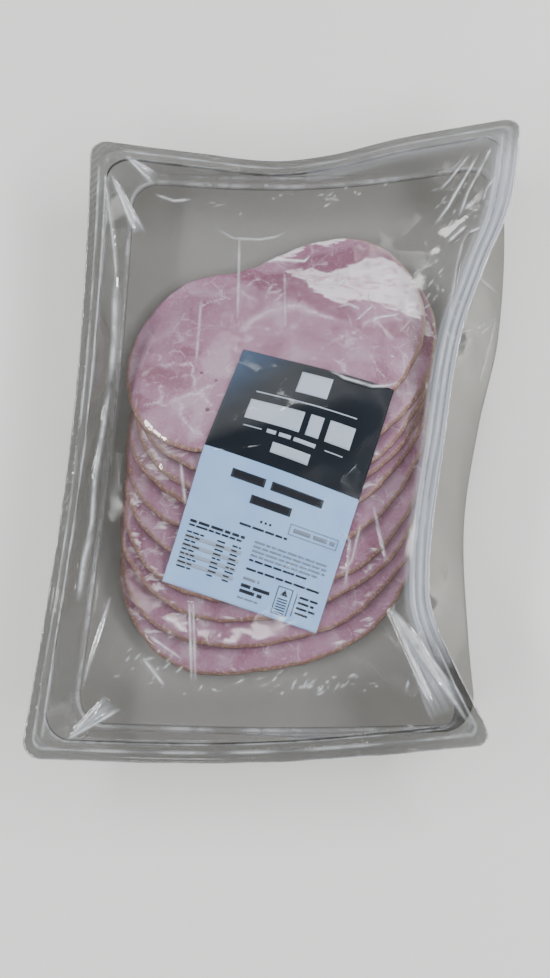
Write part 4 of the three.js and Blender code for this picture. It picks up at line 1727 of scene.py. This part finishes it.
@dataclass
class LidFilm:
    """The clear film over the pack.

    Attributes:
        seal_gap: How far it is above the flange.
        lift: How far it stays above the bacon when it is drawn down.
        least_lift: How near its creases may come to the bacon.
        mouth: How far inside the edge it is held.
        corner: Its corners' radius.
        cell: How far apart its points are.
        pull: How far each pass draws it down, at the finest step.
        release: How far inside its hold its creases reach their full height.
        press_width: How wide the left side's pressed seal is.
        press_start: Where it starts, and press_fade how softly.
        levels: The steps of drawing it down, coarse to fine: how many points apart, how many passes.
    """

    seal_gap: float = 0.3
    lift: float = 0.55
    least_lift: float = 0.35
    mouth: float = 9.8
    corner: float = 9.0
    cell: float = 0.62
    pull: float = 0.00064
    edge_gap: float = 0.6
    corner_rows: int = 12
    thickness: float = 0.12
    stiffness: int = 120
    smoothing: int = 5
    release: float = 4.0
    groove_height: float = 0.22
    groove_width: float = 0.7
    groove_whitening_and_highlight: float = 0.45
    press_width: float = 4.0
    press_start: float = -85.0
    press_fade: float = 12.0
    levels: tuple = ((16, 500), (8, 400), (4, 300), (2, 200), (1, 140))

    # How far inside the edge the sealing tool's grooves are.
    GROOVES = (4.4, 8.4)
    PLASTIC = ClearFinish(
        name="lid film",
        tint=(0.965, 0.965, 0.97, 1.0),
        edge_tint=(0.75, 0.77, 0.79, 1.0),
        haze_colour=screen(208, 214, 226),
        haze=0.005,
        cloud=0.8,
        roughness=0.06,
        gloss=2.6,
        emboss=0.6,
    )

    CREASES = (
        Crease(((-92, 131), (-95, 124), (-90.5, 96), (-88.2, 77), (-87.8, 62)), 0.6, 1.6),
        Crease(((-88.1, 72), (-87.8, 55), (-87.3, 40), (-88, 20), (-89.2, 15)), 1.15, 3.2),
        Crease(((-89.2, 17), (-88.6, 12.7), (-90.7, -8), (-93.5, -33), (-94, -53), (-96.7, -70)), 0.85, 2.3),
        Crease(((-94.3, -58), (-96.7, -70), (-98.5, -89)), 0.95, 2.6),
        Crease(((-84.5, -87.7), (-92.8, -119.4), (-94, -127)), 0.9, 1.3),
        Crease(((92.3, 139), (81.5, 125.3), (76.8, 120.7)), 0.45, 1.0, 0.6),
        Crease(((96.9, 139), (86.2, 120.7), (80.5, 110.6), (73.9, 101.5)), 0.54, 1.1, 0.9),
        Crease(((101.3, 137.8), (90.5, 117.6), (85.4, 103.8)), 0.45, 1.0, 0.7),
        Crease(((104.4, 124.5), (99.6, 118.3), (97.1, 110.6)), 0.3, 1.0, 0.5),
        Crease(((103, 141.5), (99.4, 134)), 0.5, 1.0, 0.7),
        Crease(((79.6, 90.2), (82.8, 93.2), (88.2, 98.1)), 0.9, 2.2, 1.0),
        Crease(((89.3, 93.9), (94.9, 95.5)), 0.5, 1.6, 0.8),
        Crease(((89.7, 96), (85.9, 88.5), (81.7, 73.6), (78.2, 55.3), (75.5, 40.3)), 0.4, 1.6, 0.4),
        Crease(((-26.4, 100.4), (-26.6, 76.8), (-26.9, 50.8)), 0.4, 0.9, 0.45),
        Crease(((-45.4, 65.4), (-47, 23.6)), 0.4, 0.9, 0.36),
        Crease(((-3.2, 84.3), (-2.8, 43.5)), 0.2, 0.9, 0.2),
        Crease(((-37.9, 102.3), (-29.7, 97.1), (-15.4, 96.5), (-7.7, 97.9), (-0.6, 101.2)), 0.3, 1.1, 0.4),
        Crease(((-10.5, 85), (-1.9, 85.2), (7.3, 84.4), (10, 87.7)), 0.5, 1.1, 0.9),
        Crease(((17, 67.4), (20.1, 68), (24.3, 70.3), (29.5, 75.5)), 0.4, 1.6, 0.45),
        Crease(((24.1, 57.3), (28.9, 58.7), (34.8, 55.4)), 0.4, 1.3, 0.55),
        Crease(((32.5, 48.9), (40.8, 57.3)), 0.35, 0.9, 0.5),
        Crease(((40.3, 47.8), (42.7, 50), (54, 51.3)), 0.4, 1.1, 0.8),
        Crease(((-69.7, 119.3), (-60.2, 116.2), (-51.4, 117.3)), 0.5, 1.1),
        Crease(((18.5, 20.3), (25.4, 15.8), (38.1, 11.4), (44.5, 11.7), (51.8, 13.3)), 0.5, 1.1, 0.85),
        Crease(((-48.1, -89.8), (-46, -126)), 0.4, 0.9, 0.6),
        Crease(((-46.3, -89.8), (-44.2, -126)), 0.4, 0.9, 0.45),
        Crease(((-52.3, -25.8), (-49.9, -45.3)), 0.35, 0.9),
        Crease(((-66.2, -105.4), (-50.6, -116)), 0.5, 1.1),
        Crease(((-69, -115), (-58, -128)), 0.7, 1.5),
        Crease(((43.9, -93.7), (61.8, -136.2)), 1.1, 1.5),
        Crease(((45.2, -93.9), (58, -111), (69.5, -127.2)), 1.6, 2.4),
        Crease(((48.5, -97.8), (64, -122), (77.2, -143.8)), 1.3, 2.0),
        Crease(((47, -96), (60, -118), (72, -136)), -1.2, 2.0),
        Crease(((22.2, -55), (27, -62), (24.4, -84.6)), 0.4, 1.0, 0.35),
        Crease(((37.9, -45.2), (43.5, -72.7)), 0.4, 1.0, 0.35),
        Crease(((32.4, -52.8), (27.8, -70.9), (22.1, -77.9)), 0.4, 1.0, 0.35),
    )

    DARTS = (
        Dart((-85.8, 139.8), (-70, 130.5), (-70.8, 124.5), 0.8, 1.0, 0.55),
        Dart((-92.2, 128.1), (-74.6, 98.0), (-79.4, 97.0), 0.8, 0.9, 0.65),
        Dart((-99.6, -151.0), (-84.8, -133.0), (-77.5, -138.0), 1.0, 1.4, 0.6),
        Dart((45.0, -94.0), (61.8, -136.2), (77.2, -143.8), 0.6, 0.6, 0.6),
    )

    # Groups of small white marks, scuffs and painted glints both: middle, spread, how many, and their
    # direction in degrees.
    SCUFFS_AND_GLINTS = (
        ((8, -127), (30, 4), 46, 25),
        ((72, 55), (9, 34), 34, 70),
        ((88, 112), (9, 10), 22, 45),
        ((-60, -118), (16, 12), 16, 30),
        ((20, 118), (60, 6), 26, 10),
        ((60, -118), (14, 14), 12, 40),
    )

    def plan(self) -> tuple[Array, Array, Array]:
        """Draws the film's points on the unbowed shape, in rows whose ends follow the round corners.

        Returns:
            The x and y of the points, and how far each is inside the edge.
        """
        half_x, half_y = BowedShape.HALF_WIDTH - self.edge_gap, BowedShape.HALF_LENGTH - self.edge_gap
        turns = np.linspace(0, math.pi / 2, self.corner_rows)
        straight = np.arange(-(half_y - self.corner), half_y - self.corner + 0.001, self.cell)
        rows = np.concatenate([
            -(half_y - self.corner) - self.corner * np.sin(turns[:0:-1]),
            straight,
            half_y - self.corner + self.corner * np.sin(turns[1:]),
        ])
        over = np.clip(np.abs(rows) - (half_y - self.corner), 0, self.corner)
        ends = half_x - self.corner + np.sqrt(np.maximum(self.corner**2 - over**2, 0))
        across = np.linspace(-1, 1, int(2 * half_x / self.cell) // 2 * 2 + 1)
        x = ends[:, None] * across[None, :]
        y = np.repeat(rows[:, None], across.size, axis=1)
        qx = np.abs(x) - (half_x - self.corner)
        qy = np.abs(y) - (half_y - self.corner)
        outside = np.hypot(np.maximum(qx, 0), np.maximum(qy, 0)) + np.minimum(np.maximum(qx, qy), 0)
        return x, y, self.corner - outside

    def drawn(self, points: Array, inset: Array, ground: HeightMap) -> Array:
        """Draws the film down onto what is under it.

        Args:
            points: The film's points, laid on the flange's surface.
            inset: How far each is inside the edge.
            ground: What it may not go through.

        Returns:
            The film's heights.
        """
        held = inset < self.mouth
        resting = ground.at(points[..., 0], points[..., 1]) + self.lift
        lowest = np.where(held, points[..., 2] + self.seal_gap, resting)
        sheet = None
        for step, passes in self.levels:
            rows, columns = self.picked(points.shape[0], step), self.picked(points.shape[1], step)
            floor = lowest[np.ix_(rows, columns)]
            fixed = held[np.ix_(rows, columns)]
            if sheet is None:
                sheet = points[np.ix_(rows, columns)][..., 2] + self.seal_gap
            else:
                sheet = stretched(sheet, floor.shape)
            for _ in range(passes):
                sheet = np.maximum(averaged(sheet) - self.pull * step**2, floor)
                sheet = np.where(fixed, floor, sheet)
        return sheet

    @staticmethod
    def picked(count: int, step: int) -> Array:
        """Picks evenly spaced rows of a grid, about a step apart, its first and last among them."""
        return np.unique(np.round(np.linspace(0, count - 1, max(3, count // step))).astype(int))

    def build(self, ground: HeightMap) -> None:
        """Makes and dresses the film.

        Args:
            ground: What is under it.
        """
        plan_x, plan_y, inset = self.plan()
        points = FLANGE.at(plan_x, plan_y)
        x, y = points[..., 0], points[..., 1]
        height = self.drawn(points, inset, ground.bridged(self.stiffness).softened(self.smoothing))
        relief, whitening_and_highlight = self.creased(x, y)
        height += relief * np.clip((inset - self.mouth + 1.0) / self.release, 0, 1)
        # The seal's grooves: low ridges, white along them by strain-whitening and painted highlight.
        for groove in self.GROOVES:
            ridge = np.clip(1 - np.abs(inset - groove) / self.groove_width, 0, 1)
            height += self.groove_height * ridge
            uneven = np.clip(0.6 + 0.6 * ripple(x, y, 24.0, int(groove)), 0, 1)
            whitening_and_highlight = np.maximum(whitening_and_highlight, self.groove_whitening_and_highlight * ridge * uneven)
        lowest = ground.at(x, y) + self.least_lift
        points[..., 2] = np.where(inset < self.mouth, height, np.maximum(height, lowest))
        piece = Piece("lid_film_drawn", points.reshape(-1, 3), grid_faces(*x.shape))
        pressed = np.clip((self.press_start - x) / self.press_fade, 0, 1)
        piece.number("seal", (inset < self.press_width) * pressed)
        piece.number("dense", np.zeros_like(x))
        # Strain-whitening, scuffs and painted highlights and glints.
        piece.number("whitening_and_highlight", np.maximum(whitening_and_highlight, self.scuffs_and_glints(x, y)))
        milk = [dart.milk(x, y) for dart in self.DARTS]
        piece.number("milk", np.max([self.milkiness(plan_x, plan_y, inset), *milk], axis=0))
        piece.thickened(self.thickness, self.PLASTIC.lower())
        piece.dressed(self.PLASTIC.upper(), "lid_plastic", "lid_film")

    def creased(self, x: Array, y: Array) -> tuple[Array, Array]:
        """Gives the film's swells, creases and darts.

        Args:
            x: The film's points.
            y: The film's points.

        Returns:
            The height that they add, and how white the film is by them, as strain-whitening and painted
            highlight.
        """
        relief = 0.09 * ripple(x, y, 36.0, 5) + 0.025 * ripple(x, y, 13.0, 6)
        whitening_and_highlight = np.zeros_like(x)
        for mark in (*self.CREASES, *self.DARTS):
            relief += mark.raised(x, y)
            whitening_and_highlight = np.maximum(whitening_and_highlight, mark.whitened_and_highlit(x, y))
        return relief, whitening_and_highlight

    def scuffs_and_glints(self, x: Array, y: Array) -> Array:
        """Scatters short white marks: scuffs where the film has rubbed, and painted glints.

        Args:
            x: The film's points.
            y: The film's points.

        Returns:
            0 for clear to 1 for white.
        """
        draw = np.random.default_rng(77)
        made = np.zeros_like(x)
        for (middle_x, middle_y), (spread_x, spread_y), count, turn in self.SCUFFS_AND_GLINTS:
            for _ in range(count):
                at_x, at_y = draw.normal(middle_x, spread_x / 1.6), draw.normal(middle_y, spread_y / 1.6)
                way = math.radians(turn + draw.normal(0, 22))
                length, strength = draw.uniform(0.3, 2.0), draw.uniform(0.12, 0.55)
                near = (np.abs(x - at_x) < 4) & (np.abs(y - at_y) < 4)
                dx, dy = x[near] - at_x, y[near] - at_y
                along = dx * math.cos(way) + dy * math.sin(way)
                aside = dy * math.cos(way) - dx * math.sin(way)
                mark = np.exp(-((along / length) ** 2) - (aside / 0.42) ** 2)
                made[near] = np.maximum(made[near], strength * mark)
        return made

    def milkiness(self, x: Array, y: Array, inset: Array) -> Array:
        """Gives how milky the film is, in lengthwise streaks, along its stretched right side.

        Args:
            x: The film's points on the unbowed shape.
            y: The film's points on the unbowed shape.
            inset: How far each is inside the edge.

        Returns:
            About 0 for clear to 1 for milky.
        """
        strip = np.exp(-(((inset - 5.5) / 7.0) ** 6)) * (x > 0)
        length = np.clip((y + 125) / 20, 0, 1) * np.clip((150 - y) / 20, 0, 1)
        streak = 0.66 + 0.26 * np.sin(inset * 1.5 + 1.2 * ripple(x, y, 90.0, 8))
        return strip * length * np.clip(streak + 0.16 * np.sin(inset * 3.6 + 2.0), 0.15, 1)


# The studio


@dataclass(frozen=True)
class Softbox:
    """A studio light that faces the pack, placed by the direction that it shines from.

    Its angles are in degrees: how far it leans from straight overhead, how far it is turned
    anticlockwise from the pack's right, and how wide and tall it looks from the pack.
    """

    name: str
    lean: float
    turn: float
    wide: float
    tall: float
    glare: float
    distance: float = 1.1

    def light(self) -> None:
        """Sets the light up."""
        lean, turn = math.radians(self.lean), math.radians(self.turn)
        away = Vector((math.sin(lean) * math.cos(turn), math.sin(lean) * math.sin(turn), math.cos(lean)))
        lamp = bpy.data.lights.new(self.name, "AREA")
        lamp.shape = "RECTANGLE"
        lamp.size = 2 * self.distance * math.tan(math.radians(self.wide / 2))
        lamp.size_y = 2 * self.distance * math.tan(math.radians(self.tall / 2))
        lamp.energy = self.glare * math.pi * lamp.size * lamp.size_y
        stand = bpy.data.objects.new(self.name, lamp)
        stand.location = away * self.distance
        stand.rotation_euler = (-away).to_track_quat("-Z", "Y").to_euler()
        bpy.context.scene.collection.objects.link(stand)


@dataclass
class Studio:
    """The floor, the lights and the camera."""

    floor_size: float = 3.0
    floor_level: float = -0.0002
    camera_place: tuple = (-8.0, -127.2, 412.2)
    camera_target: tuple = (-8.0, -32.0, 0.0)
    lens: float = 31.14
    side_light: float = 0.78
    top_light: float = 0.1
    # How high the surroundings start and end to get darker, as sines of the angle.
    dimming: tuple = (0.55, 0.85)
    surroundings: tuple = (0.96, 0.98, 1.0, 1.0)

    LIGHTS = (
        Softbox("left strip", 60.0, 180.0, 32.0, 4.0, 34.0),
        Softbox("right strip", 60.0, 10.0, 44.0, 8.0, 22.0),
        Softbox("far left strip", 60.0, 150.0, 18.0, 5.0, 30.0),
        Softbox("far right strip", 60.0, 50.0, 20.0, 5.0, 30.0),
        Softbox("near left strip", 60.0, 228.0, 28.0, 4.0, 28.0),
        Softbox("near right strip", 60.0, 316.0, 28.0, 4.0, 28.0),
        Softbox("overhead strip", 9.0, 177.0, 1.8, 7.0, 6.0),
        Softbox("far box", 47.0, 101.0, 2.4, 2.2, 8.0),
    )

    def build(self) -> None:
        """Sets up the floor, the lights, the world and the camera."""
        half = self.floor_size / 2
        signs = ((-1, -1), (1, -1), (1, 1), (-1, 1))
        corners = [(sx * half, sy * half, self.floor_level) for sx, sy in signs]
        mesh = bpy.data.meshes.new("floor")
        mesh.from_pydata(corners, [], [(0, 1, 2, 3)])
        floor = bpy.data.objects.new("floor", mesh)
        bpy.context.scene.collection.objects.link(floor)
        mesh.materials.append(FloorFinish().material())
        for softbox in self.LIGHTS:
            softbox.light()
        self.light_surroundings()
        self.place_camera()

    def light_surroundings(self) -> None:
        """Lights the studio softly from all sides, and least from straight above."""
        world = bpy.data.worlds.new("soft studio")
        world.use_nodes = True
        tree = world.node_tree
        backdrop = tree.nodes["Background"]
        direction = tree.nodes.new("ShaderNodeTexCoord")
        split = tree.nodes.new("ShaderNodeSeparateXYZ")
        height = tree.nodes.new("ShaderNodeMapRange")
        height.interpolation_type = "SMOOTHSTEP"
        low, high = self.dimming
        limits = {"From Min": low, "From Max": high, "To Min": self.side_light, "To Max": self.top_light}
        for socket, value in limits.items():
            height.inputs[socket].default_value = value
        tree.links.new(direction.outputs["Generated"], split.inputs[0])
        tree.links.new(split.outputs["Z"], height.inputs["Value"])
        tree.links.new(height.outputs[0], backdrop.inputs["Strength"])
        backdrop.inputs["Color"].default_value = self.surroundings
        bpy.context.scene.world = world

    def place_camera(self) -> None:
        """Makes the camera, at the photograph's viewing angle."""
        data = bpy.data.cameras.new("camera")
        data.sensor_width = 36.0
        data.lens = self.lens
        data.clip_start = 0.02
        camera = bpy.data.objects.new("camera", data)
        shift = Vector(Piece.shift)
        place, target = Vector(self.camera_place) + shift, Vector(self.camera_target) + shift
        camera.location = place * METRE
        camera.rotation_euler = (target - place).to_track_quat("-Z", "Y").to_euler()
        bpy.context.scene.collection.objects.link(camera)
        bpy.context.scene.camera = camera


def pack_shift(tray: Tray) -> tuple[float, float, float]:
    """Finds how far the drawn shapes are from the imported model.

    Args:
        tray: The tray, whose flange is the pack's outline.

    Returns:
        The shift, in millimetres.
    """
    low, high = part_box("tray")
    outline = tray.loop(FLANGE, 0.0, tray.flange_corner)
    drawn = (outline.min(axis=0) + outline.max(axis=0)) / 2
    packed = (np.array(low) + np.array(high)) / 2 / METRE
    return (float(packed[0] - drawn[0]), float(packed[1] - drawn[1]), 0.0)


def main() -> None:
    """Builds the pack's pieces and the studio."""
    logging.basicConfig(level=logging.INFO, format="%(name)s: %(message)s")
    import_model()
    tray = Tray()
    Piece.shift = pack_shift(tray)
    log.info("shift %s", Piece.shift)
    Studio().build()
    stack = Stack().build()
    covered = Label().build(stack)
    tray.build()
    LidFilm().build(covered)


if __name__ == "__main__":
    main()
